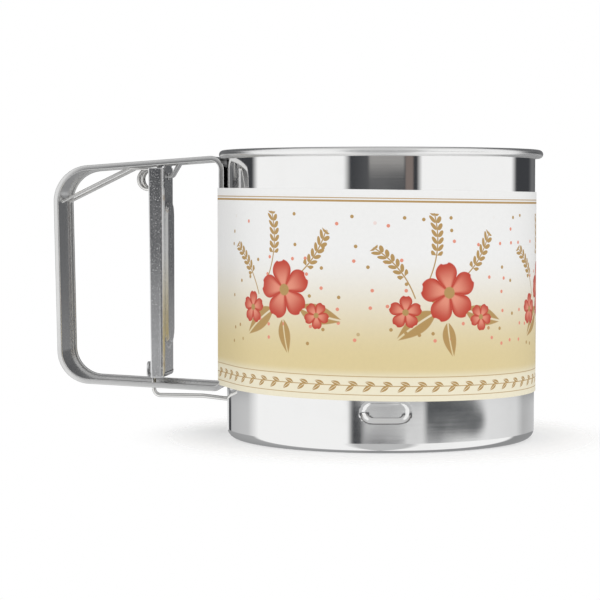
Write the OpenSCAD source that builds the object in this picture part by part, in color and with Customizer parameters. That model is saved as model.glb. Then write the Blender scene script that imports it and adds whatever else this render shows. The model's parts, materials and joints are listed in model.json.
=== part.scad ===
// Squeeze-handle sugar sifter: a sheet-metal cup with a strip handle, a sprung trigger,
// a drive wire and a star agitator that swings over a sieve in the cup's bottom.
// Millimetres. Z is up, the origin is on the cup's axis at the standing plane,
// and the handle points along -X.

/* [Cup] */
// Outside diameter of the cup's wall
cup_d = 100; // [90:1:120]
// Height from the standing plane to the top of the rim
cup_h = 93; // [86:1:110]
// Thickness of the cup's sheet
wall_t = 0.5; // [0.4:0.1:0.8]
// Diameter of the curled rim bead
rim_d = 2.7; // [2.4:0.1:3.2]
// How far the wall steps out under the rim bead
rim_flare = 0.35; // [0.1:0.05:0.4]
// Outside radius of the rounded bottom edge
base_r = 3; // [2:0.5:4]
// Width of the bottom lip, from the wall's outside inwards
lip_w = 5.5; // [5:0.5:8]

/* [Pressed ovals] */
// How many ovals are pressed into the wall above the sieve ring
dent_count = 3; // [2:1:3]
// Direction of the first oval, seen from above
dent_turn = -82; // [-90:1:-70]
// Length of an oval
dent_l = 14.7; // [10:0.1:18]
// Height of an oval
dent_h = 6.5; // [5:0.1:8]
// Depth of an oval
dent_depth = 0.9; // [0.5:0.1:1.2]
// Width of the sloped border of an oval
dent_border = 1.2; // [0.8:0.1:1.6]

/* [Sieve] */
// Thickness of the ring, retainer and washer sheet
ring_t = 0.6; // [0.5:0.1:1]
// How far the shelf's underside lies above the rounded bottom edge
shelf_rise = 0; // [0:0.1:0.6]
// Height of the ring's band above the shelf's underside
band_h = 6.2; // [5:0.1:6.4]
// Width of the shelf
shelf_w = 6; // [5:0.5:8]
// Thickness of the woven mesh
mesh_t = 0.6; // [0.4:0.1:1]
// Spacing of the net's bars
mesh_pitch = 5.2; // [4.8:0.1:7]
// Width of the net's bars
mesh_bar = 0.7; // [0.5:0.1:1]
// Width of the bar that carries the pivot
bar_w = 12; // [8:1:16]
// Thickness of that bar
bar_t = 1; // [0.8:0.1:1.2]

/* [Agitator] */
// Diameter of the pivot rivet's shank
rivet_d = 4; // [3:0.1:5]
// Diameter of the rivet's head
rivet_head_d = 9; // [7:0.5:12]
// Height of the rivet's head
rivet_head_h = 1.6; // [1.2:0.1:2]
// Outside diameter of the two washers
washer_d = 12; // [10:0.5:16]
// Thickness of the upper washer
washer_t = 0.8; // [0.6:0.1:1.2]
// Number of arms
arm_count = 6; // [3:1:8]
// Gap from the arms' tips to the ring's band
arm_tip_gap = 5; // [2:0.5:12]
// Width of an arm
arm_w = 7; // [6:0.5:9]
// Thickness of the agitator's sheet
agitator_t = 0.8; // [0.6:0.1:1]
// Height of the fin folded up along each arm
fin_h = 2; // [1:0.1:2.4]
// Diameter of the hub plate
hub_d = 20; // [16:1:26]

/* [Handle] */
// Distance from the cup's wall to the outside of the grip
reach = 56.4; // [50:0.5:66]
// Width of the strip
strip_w = 20; // [18:0.5:24]
// Thickness of the strip's sheet
strip_t = 0.6; // [0.5:0.1:0.8]
// Diameter of the rolled edges
hem_d = 1.7; // [1.4:0.1:2]
// How far the strip's flat lies inside the rolled edges' outside
flat_inset = 0.1; // [0.05:0.05:0.2]
// Distance from the rim's top down to the top arm, where it meets the cup
arm_top_drop = 1.4; // [1.4:0.1:6]
// Height of the bottom arm's lower side where it meets the cup
arm_bottom_z = 14.5; // [14:0.5:18]
// Slope of the top arm, down towards the grip
top_slope = 4.1; // [2:0.1:5]
// Slope of the bottom arm, up towards the grip
bottom_slope = 2.6; // [0:0.1:4]
// Lean of the grip, its lower end towards the cup
grip_lean = 1.1; // [0:0.1:3]
// Outside radius of the grip's top corner
corner_top_r = 12; // [8:0.5:14]
// Outside radius of the grip's bottom corner
corner_bottom_r = 11; // [8:0.5:14]
// Outside radius of the bend from the top arm to its leg
leg_top_r = 4.4; // [4.3:0.1:6]
// Outside radius of the bend from the bottom arm to its leg
leg_bottom_r = 3.5; // [3:0.1:5]
// Length of each leg on the wall
leg_l = 19; // [14:1:26]

/* [Trigger] */
// Distance from the cup's wall to the outside of the trigger's web
trigger_gap = 20.3; // [17:0.1:24]
// Gap on each side between the trigger's flanges and the handle's rolled edges
trigger_side_gap = 0.8; // [0.5:0.1:1.4]
// Depth of the trigger's flanges
trigger_depth = 5.3; // [4.5:0.1:7]
// Thickness of the trigger's sheet
trigger_t = 0.7; // [0.5:0.1:0.9]
// Outside radius of the trigger's long bends
trigger_bend_r = 1.3; // [1:0.1:2]
// Gap from the handle's strip down to the flanges
trigger_top_gap = 1.9; // [1.7:0.1:3]
// Gap from the bottom arm's rolled edges up to the trigger's foot
trigger_foot_gap = 1.2; // [0.8:0.1:2]
// Height that the finger pad stands out of the web
pad_h = 0.8; // [0.4:0.1:1]
// Distance from the trigger's long bends to the finger pad
pad_margin = 0.4; // [0.2:0.1:1]
// Distance from the trigger's ends to the finger pad
pad_inset = 10; // [8:0.5:16]
// Length of the foot, from the flanges' free edge towards the grip
foot_l = 1.4; // [1.3:0.1:3]
// Height of the two lugs folded up at the foot's end
lug_h = 5; // [2:0.1:5.2]
// Width of each lug
lug_w = 3; // [2:0.1:3.4]
// How much less deep the flanges are at the foot
flange_taper = 0.8; // [0:0.1:1.2]
// Outside radius of the fold from the web to the foot
foot_fold_r = 1.5; // [1:0.1:2]
// How far the tongue's tip lies below the handle's strip
hinge_drop = 4.8; // [4.4:0.1:5.4]
// Width of the tongue and the stop flap
tongue_w = 5; // [4:0.1:6]
// How far the tongue's root stands out from the trigger's web
tongue_root = 4.4; // [4:0.1:5]
// Width of the web's top tab on each side of the tongue
tab_side = 2; // [1.5:0.1:2.5]
// How far the trigger can be squeezed, in degrees
squeeze = 17; // [10:0.5:17]

/* [Spring] */
// Diameter of the spring's wire
spring_wire = 1; // [0.8:0.05:1]
// Outside diameter of the coils
coil_d = 7.8; // [7:0.1:7.8]
// Spacing of the curls along a coil
coil_pitch = 1.5; // [1.45:0.01:1.6]
// Whole curls in each coil
coil_turns = 2; // [1:1:2]
// Gap from each coil to the trigger's flange beside it
coil_side_gap = 1.1; // [0.5:0.1:1.2]
// Distance from each coil's axis back to the bend in its leg
spring_bend_x = 6.2; // [5:0.1:8]
// How far that bend stands above the coil's upper side
spring_bend_rise = 0.3; // [0:0.1:0.4]
// How far the legs' ends lie below the coils' axis
spring_leg_drop = 7.4; // [5:0.1:10]
// Length of the loop that lies in the trigger's channel
loop_l = 16; // [10:0.5:24]

/* [Drive wire] */
// Diameter of the drive wire
wire_d = 1.4; // [1.2:0.1:1.8]
// Gap from the bottom arm down to the wire's upper side
wire_gap = 2.7; // [1.6:0.1:3]
// Radius of the bend under the trigger, at the wire's middle
wire_bend_r = 2.2; // [2:0.1:3.5]
// How far the wire steps down before the cup
wire_step = 0.8; // [0:0.1:1]
// Distance from the wall to the step's lower end
wire_step_gap = 4.5; // [4:0.5:8]
// Sideways distance from the agitator's pivot to the wire's hook
hook_y = 17; // [15:0.5:20]
// Straight run of the squeezed wire inside the wall, before it turns to the hook
hook_lead = 2.6; // [2.2:0.1:4]

/* [Sleeve] */
// Thickness of the sleeve's card
sleeve_t = 0.3; // [0.3:0.05:0.5]
// Height of the sleeve's lower edge
sleeve_bottom_z = 15.6; // [15:0.1:24]
// Distance from the rim's top down to the sleeve's upper edge
sleeve_top_drop = 12.8; // [11:0.1:30]

/* [Clearances] */
// Gap between pieces that lie loosely on each other
seat_gap = 0.05; // [0.05:0.01:0.1]
// Radial gap of the agitator on its rivet
running_gap = 0.06; // [0.02:0.01:0.1]
// Gap between the agitator and the washer or rivet head next to it
thrust_gap = 0.1; // [0.1:0.05:0.2]
// Gap round the drive wire in the holes and slots that it moves in
wire_play = 0.5; // [0.45:0.05:0.8]
// Gap between moving pieces that pass each other
pass_gap = 0.3; // [0.3:0.05:0.5]

/* [Hidden] */
$fn = 96;
// Reach of a cutting solid past the faces that it cuts
cut = 1;

steel = [0.78, 0.78, 0.77];
nickel = [0.80, 0.78, 0.72];
card = [0.94, 0.91, 0.82];

cup_r = cup_d / 2;
inner_r = cup_r - wall_t;
rim_r = rim_d / 2;
sleeve_top_z = cup_h - sleeve_top_drop;

// Sieve stack, from the shelf up
shelf_z = base_r + shelf_rise;
mesh_z = shelf_z + ring_t;
retainer_z = mesh_z + mesh_t;
upper_washer_z = mesh_z + mesh_t;
agitator_z = upper_washer_z + washer_t + thrust_gap;
rivet_head_z = agitator_z + agitator_t + thrust_gap;
bar_z = shelf_z - bar_t;
band_top_z = shelf_z + band_h;
band_r = inner_r - 0.25;
mesh_r = band_r - ring_t - 0.25;
shelf_r = band_r - shelf_w;
arm_tip_r = band_r - ring_t - arm_tip_gap;
skirt_r = cup_r - base_r - 0.4;
dent_z = band_top_z + pass_gap + dent_h / 2;

// Handle outline, in the XZ plane, along the strip's outside
arm_top_z = cup_h - arm_top_drop;
leg_x = -cup_r - seat_gap;
grip_x = -cup_r - reach;
grip_z = (arm_top_z + arm_bottom_z) / 2;
function top_arm_z(x) = arm_top_z + (x - leg_x) * tan(top_slope);
function bottom_arm_z(x) = arm_bottom_z - (x - leg_x) * tan(bottom_slope);
function meet_grip(z, slope) =
    let (x = (grip_x + (grip_z - z) * tan(grip_lean) + leg_x * slope * tan(grip_lean))
        / (1 + slope * tan(grip_lean)))
    [x, z + (x - leg_x) * slope];
handle_path = [
    [leg_x, arm_top_z - leg_l],
    [leg_x, arm_top_z],
    meet_grip(arm_top_z, tan(top_slope)),
    meet_grip(arm_bottom_z, -tan(bottom_slope)),
    [leg_x, arm_bottom_z],
    [leg_x, arm_bottom_z + leg_l]
];
handle_radii = [0, leg_top_r, corner_top_r, corner_bottom_r, leg_bottom_r, 0];

// Trigger and its hinge on the tongue's tip
trigger_w = strip_w - 2 * hem_d - 2 * trigger_side_gap;
pad_w = trigger_w - 2 * trigger_bend_r - 2 * pad_margin;
tip_l = 0.7;
web_out_x = -cup_r - trigger_gap;
web_in_x = web_out_x - trigger_t;
free_x = web_out_x - trigger_depth;
hinge_x = web_out_x - trigger_t / 2;
strip_under_z = top_arm_z(hinge_x) - flat_inset - strip_t;
hinge_z = strip_under_z - hinge_drop;
flange_top_z = strip_under_z - trigger_top_gap;
tab_top_z = strip_under_z - pass_gap;
foot_z = bottom_arm_z(free_x) + hem_d + trigger_foot_gap;
foot_x = free_x - foot_l;
flap_x = web_in_x - 2.4;

// Drive wire: it hangs in the trigger's foot and pulls towards -X as the trigger is squeezed
wire_x = free_x + 0.1;
wire_r = wire_d / 2;
wire_z = bottom_arm_z(wire_x) - wire_gap - wire_r;
wire_in_z = wire_z - wire_step;
foot_arm = [wire_x - hinge_x, foot_z - hinge_z];
travel = foot_arm[0] * (1 - cos(squeeze)) - foot_arm[1] * sin(squeeze);
rise = foot_arm[1] * (cos(squeeze) - 1) - foot_arm[0] * sin(squeeze);
wire_top_z = foot_z + trigger_t + rise + 1.6;
hook_x = travel / 2;
hook_angle = atan2(hook_y, hook_x);
hook_z = rivet_head_z + fin_h + wire_d;
swing = 2 * (90 - hook_angle);

echo(hinge_m = [hinge_x / 1000, 0, hinge_z / 1000]);
echo(wire_travel_mm = travel, metres_per_radian = travel / 1000 / (squeeze * PI / 180));
echo(agitator_swing_deg = swing, radians_per_radian = swing / squeeze);

// Spring: one wire, from one leg's end over a coil and the loop to the other leg's end
coil_r = (coil_d - spring_wire) / 2;
coil_x = web_in_x - tip_l - 2 * pass_gap - coil_d / 2;
spring_leg_y = trigger_w / 2 - trigger_t - coil_side_gap - spring_wire / 2;
coil_z = strip_under_z - coil_d / 2 - 1.75;
curl_rings = 8;
coil_steps = coil_turns * curl_rings + curl_rings / 4;
loop_y = spring_leg_y - coil_pitch * coil_steps / curl_rings;
leg_bend = [coil_x - spring_bend_x, -spring_leg_y, coil_z + coil_r + spring_bend_rise];
leg_end_z = coil_z - spring_leg_drop;
leg_end = [
    grip_x + (grip_z - leg_end_z) * tan(grip_lean) + strip_t + spring_wire, -spring_leg_y, leg_end_z
];
loop_low = [web_in_x - spring_wire / 2 - 0.25, -loop_y, coil_z - loop_l];
loop_rings = 6;
half_spring = concat(
    [leg_end, leg_bend + 0.06 * (leg_end - leg_bend), leg_bend + [1.4, 0, 0.05]],
    [for (i = [0 : coil_steps]) let (a = 90 - i * 360 / curl_rings)
        [coil_x + coil_r * cos(a), -spring_leg_y + coil_pitch * i / curl_rings, coil_z + coil_r * sin(a)]],
    [loop_low]
);
loop_bend = [for (i = [1 : loop_rings - 1]) let (a = 180 * i / loop_rings)
    loop_low + [0, loop_y * (1 - cos(a)), -loop_y * sin(a)]];
function other_side(p) = [p[0], -p[1], p[2]];
spring_path = concat(
    half_spring,
    loop_bend,
    [for (i = [len(half_spring) - 1 : -1 : 0]) other_side(half_spring[i])]
);
function self_gap(path, apart) = min([for (i = [0 : len(path) - 1]) for (j = [i + apart : 1 : len(path) - 1])
    norm(path[i] - path[j])]) - spring_wire;
echo(spring_least_gap_to_itself_mm = self_gap(spring_path, curl_rings - 2));

// Sleeve outline: round the wall, and out over the rolled edges of the handle's legs
sleeve_gap = 0.15;
sleeve_in_r = cup_r + sleeve_gap;
hem_at = [leg_x - hem_d / 2, strip_w / 2 - hem_d / 2];

function heading(i) = unit(handle_path[i + 1] - handle_path[i]);
function left_of(v) = [-v[1], v[0]];
function turn(i) = acos(heading(i - 1) * heading(i));
function bend_centre(i) = handle_path[i] - handle_radii[i] * tan(turn(i) / 2) * heading(i - 1)
    + handle_radii[i] * left_of(heading(i - 1));
function on_bend(i, share, inset) =
    let (a = turn(i) * share, n = left_of(heading(i - 1)), t = heading(i - 1))
    bend_centre(i) + (handle_radii[i] - inset) * (sin(a) * t - cos(a) * n);
function unit(v) = v / norm(v);

// The handle's closed outline in the XZ plane, drawn in from its outside
module loop_outline(inset) {
    polygon([for (i = [1 : 4]) each [on_bend(i, 0, inset), on_bend(i, 1, inset)]]);
    for (i = [1 : 4])
        translate(bend_centre(i))
            circle(r = handle_radii[i] - inset);
}

// The strip's flat, open between its two legs
module strip_flat() {
    flat_w = strip_w - hem_d;
    open_low = arm_bottom_z + leg_l;
    open_high = arm_top_z - leg_l;
    translate([0, flat_w / 2, 0])
        rotate([90, 0, 0])
            linear_extrude(flat_w)
                difference() {
                    loop_outline(flat_inset);
                    loop_outline(flat_inset + strip_t);
                    translate([leg_x - hem_d, open_low])
                        square([hem_d + cut, open_high - open_low]);
                }
}

// The rolled edges, one along each side of the strip
module strip_hems() {
    bend_rings = 9;
    hem_r = hem_d / 2;
    path = concat(
        [handle_path[0] + [-hem_r, 0]],
        [for (i = [1 : 4]) for (k = [0 : bend_rings]) on_bend(i, k / bend_rings, hem_r)],
        [handle_path[5] + [-hem_r, 0]]
    );
    for (side = [-1, 1])
        tube([for (p = path) [p[0], side * (strip_w / 2 - hem_r), p[1]]], hem_d, 12);
}

// A flat plate between two points of the XZ plane, centred on Y
module plate(from, to, width, thick) {
    translate([from[0], 0, from[1]])
        rotate([0, -atan2(to[1] - from[1], to[0] - from[0]), 0])
            translate([0, -width / 2, -thick / 2])
                cube([norm(to - from), width, thick]);
}

// A round rod between two points
module rod(from, to, d) {
    along = to - from;
    translate(from)
        rotate([0, acos(along[2] / norm(along)), atan2(along[1], along[0])])
            cylinder(d = d, h = norm(along), $fn = 32);
}

// A slot with round ends along X, cut through in Z
module round_slot(from_x, to_x, width, low, high) {
    translate([from_x, -width / 2, low])
        cube([to_x - from_x, width, high - low]);
    for (x = [from_x, to_x])
        translate([x, 0, low])
            cylinder(d = width, h = high - low, $fn = 32);
}

module flat_ring(outer, inner, low, thick) {
    translate([0, 0, low])
        difference() {
            cylinder(r = outer, h = thick);
            translate([0, 0, -cut])
                cylinder(r = inner, h = thick + 2 * cut);
        }
}

// An oval prism that points along +X
module oval_prism(length, height, from, to) {
    span = (length - height) / 2;
    translate([from, -span, -height / 2])
        cube([to - from, 2 * span, height]);
    for (side = [-1, 1])
        translate([from, side * span, 0])
            rotate([0, 90, 0])
                cylinder(d = height, h = to - from, $fn = 48);
}

module at_dents() {
    for (i = [0 : dent_count - 1])
        rotate([0, 0, dent_turn + i * 360 / dent_count])
            translate([0, 0, dent_z])
                children();
}

module cup_section() {
    translate([inner_r, base_r])
        square([wall_t, cup_h - rim_r - base_r]);
    translate([cup_r - base_r, base_r])
        difference() {
            intersection() {
                circle(r = base_r);
                translate([0, -base_r])
                    square(base_r);
            }
            circle(r = base_r - wall_t);
        }
    translate([cup_r - lip_w, 0])
        square([lip_w - base_r, wall_t]);
    translate([inner_r + rim_flare + rim_r, cup_h - rim_r])
        difference() {
            circle(r = rim_r);
            circle(r = rim_r - wall_t);
            translate([-rim_r, -rim_r])
                square([rim_r + wall_t / 2, rim_r]);
        }
}

module cup_body() {
    color(steel)
        difference() {
            union() {
                rotate_extrude($fn = 180)
                    cup_section();
                intersection() {
                    flat_ring(inner_r + wall_t / 2, inner_r - dent_depth, base_r, cup_h - rim_d - base_r);
                    at_dents()
                        oval_prism(dent_l, dent_h, 0, cup_r);
                }
            }
            intersection() {
                flat_ring(cup_r + cut, cup_r - dent_depth, base_r, cup_h - rim_d - base_r);
                at_dents()
                    oval_prism(dent_l - dent_border, dent_h - dent_border, 0, cup_r + 2 * cut);
            }
            translate([-cup_r - cut, 0, wire_in_z])
                rotate([0, 90, 0])
                    cylinder(r = wire_r + wire_play, h = wall_t + 2 * cut, $fn = 48);
        }
}

module sieve_ring() {
    color(steel) {
        flat_ring(band_r, band_r - ring_t, shelf_z, band_h);
        flat_ring(band_r, shelf_r, shelf_z, ring_t);
        flat_ring(skirt_r, skirt_r - ring_t, wall_t, shelf_z - wall_t + ring_t / 2);
    }
}

module sieve_mesh() {
    net_r = shelf_r - mesh_bar;
    gap = mesh_pitch - mesh_bar;
    cells = floor(net_r / mesh_pitch);
    color(steel)
        translate([0, 0, mesh_z])
            linear_extrude(mesh_t)
                difference() {
                    circle(r = mesh_r);
                    circle(d = rivet_d + 2 * seat_gap);
                    for (i = [-cells : cells - 1])
                        for (j = [-cells : cells - 1])
                            let (x = i * mesh_pitch + mesh_bar / 2, y = j * mesh_pitch + mesh_bar / 2,
                                far = norm([max(abs(x), abs(x + gap)), max(abs(y), abs(y + gap))]),
                                near = norm([min(abs(x), abs(x + gap)), min(abs(y), abs(y + gap))]))
                                if (far < net_r && near > washer_d / 2)
                                    translate([x, y])
                                        square(gap);
                }
}

module mesh_retainer() {
    color(steel)
        flat_ring(mesh_r, shelf_r + 1, retainer_z, ring_t);
}

module support_bar() {
    bar_l = 2 * (skirt_r - ring_t - pass_gap);
    color(steel)
        difference() {
            intersection() {
                translate([-bar_w / 2, -bar_l / 2, bar_z])
                    cube([bar_w, bar_l, bar_t]);
                cylinder(d = bar_l, h = shelf_z);
            }
            translate([0, 0, bar_z - cut])
                cylinder(d = rivet_d + 2 * seat_gap, h = bar_t + 2 * cut);
        }
}

module lower_washer() {
    color(steel)
        flat_ring(washer_d / 2, rivet_d / 2 + seat_gap, shelf_z, ring_t);
}

module upper_washer() {
    color(steel)
        flat_ring(washer_d / 2, rivet_d / 2 + seat_gap, upper_washer_z, washer_t);
}

module pivot_rivet() {
    head_r = rivet_head_d / 2;
    dome_r = (head_r * head_r + rivet_head_h * rivet_head_h) / (2 * rivet_head_h);
    foot_h = bar_z * 0.4;
    color(steel) {
        translate([0, 0, bar_z - foot_h])
            cylinder(d = rivet_d, h = rivet_head_z - bar_z + foot_h);
        translate([0, 0, bar_z - foot_h])
            cylinder(d = rivet_d + 2, h = foot_h);
        rotate_extrude()
            intersection() {
                translate([0, rivet_head_z + rivet_head_h - dome_r])
                    circle(r = dome_r, $fn = 180);
                translate([0, rivet_head_z])
                    square([head_r, rivet_head_h]);
            }
    }
}

module agitator() {
    slot_far = norm([hook_x, hook_y]);
    slot_w = wire_d + 2 * wire_play;
    fin_start = hub_d / 2 + 1;
    fin_end = arm_tip_r - arm_w / 2 - 1;
    fin_y = arm_w / 2 - agitator_t - 0.15;
    color(steel) {
        translate([0, 0, agitator_z])
            linear_extrude(agitator_t)
                difference() {
                    agitator_outline();
                    circle(d = rivet_d + 2 * running_gap);
                    rotate(hook_angle) {
                        translate([hook_y, -slot_w / 2])
                            square([slot_far - hook_y, slot_w]);
                        for (r = [hook_y, slot_far])
                            translate([r, 0])
                                circle(d = slot_w, $fn = 32);
                    }
                }
        for (i = [0 : arm_count - 1])
            rotate(hook_angle + i * 360 / arm_count)
                translate([fin_start, fin_y, agitator_z + agitator_t / 2])
                    cube([fin_end - fin_start, agitator_t, agitator_t / 2 + fin_h]);
    }
}

module agitator_outline() {
    circle(d = hub_d);
    for (i = [0 : arm_count - 1])
        rotate(hook_angle + i * 360 / arm_count) {
            translate([hub_d / 4, -arm_w / 2])
                square([arm_tip_r - arm_w / 2 - hub_d / 4, arm_w]);
            translate([arm_tip_r - arm_w / 2, 0])
                circle(d = arm_w);
        }
}

module handle() {
    tip = [web_in_x - tip_l, hinge_z];
    knee = [web_out_x + 1.2, hinge_z];
    root_x = web_out_x + tongue_root;
    root = [root_x, top_arm_z(root_x) - flat_inset - strip_t / 2];
    tongue_t = 0.8;
    color(steel)
        difference() {
            union() {
                strip_flat();
                strip_hems();
                plate(tip, knee, tongue_w, tongue_t);
                plate(knee, root, tongue_w, tongue_t);
                for (p = [knee, root])
                    translate([p[0], 0, p[1]])
                        rotate([90, 0, 0])
                            cylinder(d = tongue_t, h = tongue_w, center = true, $fn = 32);
                translate([hinge_x, 0, hinge_z])
                    rotate([90, 0, 0])
                        cylinder(d = tongue_t + 0.3, h = tongue_w, center = true, $fn = 32);
                plate([flap_x, flange_top_z], [flap_x, top_arm_z(flap_x) - flat_inset - strip_t / 2], tongue_w, tongue_t);
            }
            translate([flap_x + tongue_t / 2, -tongue_w / 2 - pass_gap, strip_under_z - tongue_t / 2])
                cube([root_x - flap_x - 2.2 * tongue_t, tongue_w + 2 * pass_gap, strip_t + 2 * cut]);
            round_slot(
                wire_x - travel, wire_x, wire_d + 2 * wire_play,
                arm_bottom_z - cut, bottom_arm_z(grip_x) + 2 * hem_d + cut
            );
        }
}

module trigger_channel_section() {
    r_in = trigger_bend_r - trigger_t;
    difference() {
        union() {
            translate([free_x, -trigger_w / 2])
                square([trigger_depth - trigger_bend_r, trigger_w]);
            translate([free_x, -trigger_w / 2 + trigger_bend_r])
                square([trigger_depth, trigger_w - 2 * trigger_bend_r]);
            for (side = [-1, 1])
                translate([web_out_x - trigger_bend_r, side * (trigger_w / 2 - trigger_bend_r)])
                    circle(r = trigger_bend_r, $fn = 32);
        }
        translate([free_x - cut, -trigger_w / 2 + trigger_t])
            square([trigger_depth + cut - trigger_bend_r, trigger_w - 2 * trigger_t]);
        translate([free_x, -trigger_w / 2 + trigger_bend_r])
            square([trigger_depth - trigger_t, trigger_w - 2 * trigger_bend_r]);
        for (side = [-1, 1])
            translate([web_out_x - trigger_bend_r, side * (trigger_w / 2 - trigger_bend_r)])
                circle(r = r_in, $fn = 32);
    }
}

// What the rounded fold at the foot takes off the channel's corner
module foot_corner() {
    translate([web_out_x - foot_fold_r, 0, foot_z + foot_fold_r])
        rotate([90, 0, 0])
            difference() {
                translate([0, -foot_fold_r - cut, -trigger_w / 2 - cut])
                    cube([foot_fold_r + cut, foot_fold_r + cut, trigger_w + 2 * cut]);
                cylinder(r = foot_fold_r, h = trigger_w + 4 * cut, center = true, $fn = 64);
            }
}

// The finger pad's outline along the web, pushed out from one X to another
module pad_block(width, from_x, to_x) {
    low = foot_z + pad_inset + pad_w / 2;
    high = flange_top_z - pad_inset - pad_w / 2;
    translate([from_x, -width / 2, low])
        cube([to_x - from_x, width, high - low]);
    for (z = [low, high])
        translate([from_x, 0, z])
            rotate([0, 90, 0])
                cylinder(d = width, h = to_x - from_x, $fn = 64);
}

module trigger() {
    window_h = 2;
    tab_w = tongue_w + 2 * pass_gap + 2 * tab_side;
    floor_w = trigger_w - 2 * trigger_t;
    lug_y = wire_r + 2 * wire_play;
    foot_w = 2 * (lug_y + lug_w);
    color(steel)
        difference() {
            union() {
                difference() {
                    translate([0, 0, foot_z])
                        linear_extrude(flange_top_z - foot_z)
                            trigger_channel_section();
                    translate([free_x, 0, flange_top_z])
                        rotate([0, -atan(flange_taper / (flange_top_z - foot_z)), 0])
                            translate([-trigger_depth, -trigger_w, -flange_top_z])
                                cube([trigger_depth, 2 * trigger_w, flange_top_z]);
                    foot_corner();
                }
                translate([web_in_x, -tab_w / 2, flange_top_z - cut])
                    cube([trigger_t, tab_w, tab_top_z - flange_top_z + cut]);
                translate([free_x + flange_taper, -floor_w / 2, foot_z])
                    cube([trigger_depth - flange_taper - foot_fold_r, floor_w, trigger_t]);
                intersection() {
                    translate([web_out_x - foot_fold_r, 0, foot_z + foot_fold_r])
                        rotate([90, 0, 0])
                            difference() {
                                cylinder(r = foot_fold_r, h = floor_w, center = true, $fn = 64);
                                cylinder(r = foot_fold_r - trigger_t, h = floor_w + cut, center = true, $fn = 64);
                            }
                    translate([web_out_x - foot_fold_r, -floor_w / 2, foot_z])
                        cube([foot_fold_r, floor_w, foot_fold_r]);
                }
                translate([foot_x, -foot_w / 2, foot_z])
                    cube([foot_l + 2 * trigger_t + flange_taper, foot_w, trigger_t]);
                for (side = [-1, 1])
                    translate([foot_x, side * (lug_y + lug_w / 2) - lug_w / 2, foot_z])
                        cube([trigger_t, lug_w, lug_h]);
                pad_block(pad_w, web_in_x, web_out_x + pad_h);
            }
            pad_block(pad_w - 2 * trigger_t, web_in_x - cut, web_out_x + pad_h - trigger_t);
            translate([web_in_x - cut, -tongue_w / 2 - pass_gap, hinge_z - window_h / 2])
                cube([trigger_t + 2 * cut, tongue_w + 2 * pass_gap, window_h]);
            translate([wire_x, 0, foot_z - cut])
                cylinder(r = wire_r + wire_play, h = trigger_t + 2 * cut, $fn = 48);
        }
}

// A round tube through a list of points, with a frame that turns as little as it can
module tube(path, d, sides) {
    last = len(path) - 1;
    step = [for (i = [0 : last - 1]) unit(path[i + 1] - path[i])];
    along = [for (i = [0 : last]) unit(step[min(i, last - 1)] + step[max(i - 1, 0)])];
    across = [for (i = 0, n = [0, 1, 0]; i <= last;
        i = i + 1, n = i <= last ? unit(n - (n * along[i]) * along[i]) : n) n];
    points = [for (i = [0 : last]) for (k = [0 : sides - 1])
        let (a = 360 * k / sides, n = unit(across[i] - (across[i] * along[i]) * along[i]))
        path[i] + d / 2 * (cos(a) * n + sin(a) * cross(along[i], n))];
    walls = [for (i = [0 : last - 1]) for (k = [0 : sides - 1])
        let (a = i * sides + k, b = i * sides + (k + 1) % sides)
        each [[a, a + sides, b], [b, a + sides, b + sides]]];
    ends = [for (k = [1 : sides - 2]) each
        [[0, k, k + 1], [last * sides, last * sides + k + 1, last * sides + k]]];
    polyhedron(points, concat(walls, ends));
}

module return_spring() {
    color(nickel)
        tube(spring_path, spring_wire, 6);
}

module drive_wire() {
    bend_end = [wire_x + wire_bend_r, 0, wire_z];
    entry = -cup_r - wire_step_gap;
    knuckle = 0.02;
    run = [
        bend_end,
        [entry - 4, 0, wire_z],
        [entry, 0, wire_in_z],
        [-inner_r + travel + hook_lead, 0, wire_in_z],
        [hook_x, hook_y, hook_z],
        [hook_x, hook_y, retainer_z + ring_t]
    ];
    color(steel) {
        rod([wire_x, 0, wire_z + wire_bend_r], [wire_x, 0, wire_top_z], wire_d);
        translate([wire_x + wire_bend_r, 0, wire_z + wire_bend_r])
            rotate([90, 0, 0])
                rotate([0, 0, 180])
                    rotate_extrude(angle = 90)
                        translate([wire_bend_r, 0])
                            circle(d = wire_d, $fn = 32);
        for (i = [0 : len(run) - 2])
            rod(run[i], run[i + 1], wire_d);
        for (i = [1 : len(run) - 2])
            translate(run[i])
                sphere(d = wire_d + 2 * knuckle, $fn = 32);
    }
}

// The sleeve's outline at a distance outside its inner face
module sleeve_outline(out) {
    r = sleeve_in_r + out;
    hem_r = hem_d / 2 + sleeve_gap + out;
    lean = atan2(hem_at[1], -hem_at[0]) + acos((r - hem_r) / norm(hem_at));
    over_hem = hem_at + hem_r * [-cos(lean), sin(lean)];
    on_wall = r * [-cos(lean), sin(lean)];
    circle(r = r, $fn = 180);
    for (side = [-1, 1])
        translate([hem_at[0], side * hem_at[1]])
            circle(r = hem_r, $fn = 48);
    polygon([
        [0, 0],
        on_wall,
        over_hem,
        [hem_at[0] - hem_r, hem_at[1]],
        [hem_at[0] - hem_r, -hem_at[1]],
        [over_hem[0], -over_hem[1]],
        [on_wall[0], -on_wall[1]]
    ]);
}

module paper_sleeve() {
    notch_z = arm_bottom_z + leg_bottom_r - 0.6;
    notch_w = strip_w + 2;
    color(card)
        difference() {
            translate([0, 0, sleeve_bottom_z])
                linear_extrude(sleeve_top_z - sleeve_bottom_z)
                    difference() {
                        sleeve_outline(sleeve_t);
                        sleeve_outline(0);
                    }
            translate([grip_x, -notch_w / 2, sleeve_bottom_z - cut])
                cube([reach + cut, notch_w, max(notch_z - sleeve_bottom_z, 0) + cut]);
        }
}

cup_body();
sieve_ring();
sieve_mesh();
mesh_retainer();
support_bar();
lower_washer();
upper_washer();
pivot_rivet();
agitator();
handle();
trigger();
return_spring();
drive_wire();
paper_sleeve();
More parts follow.
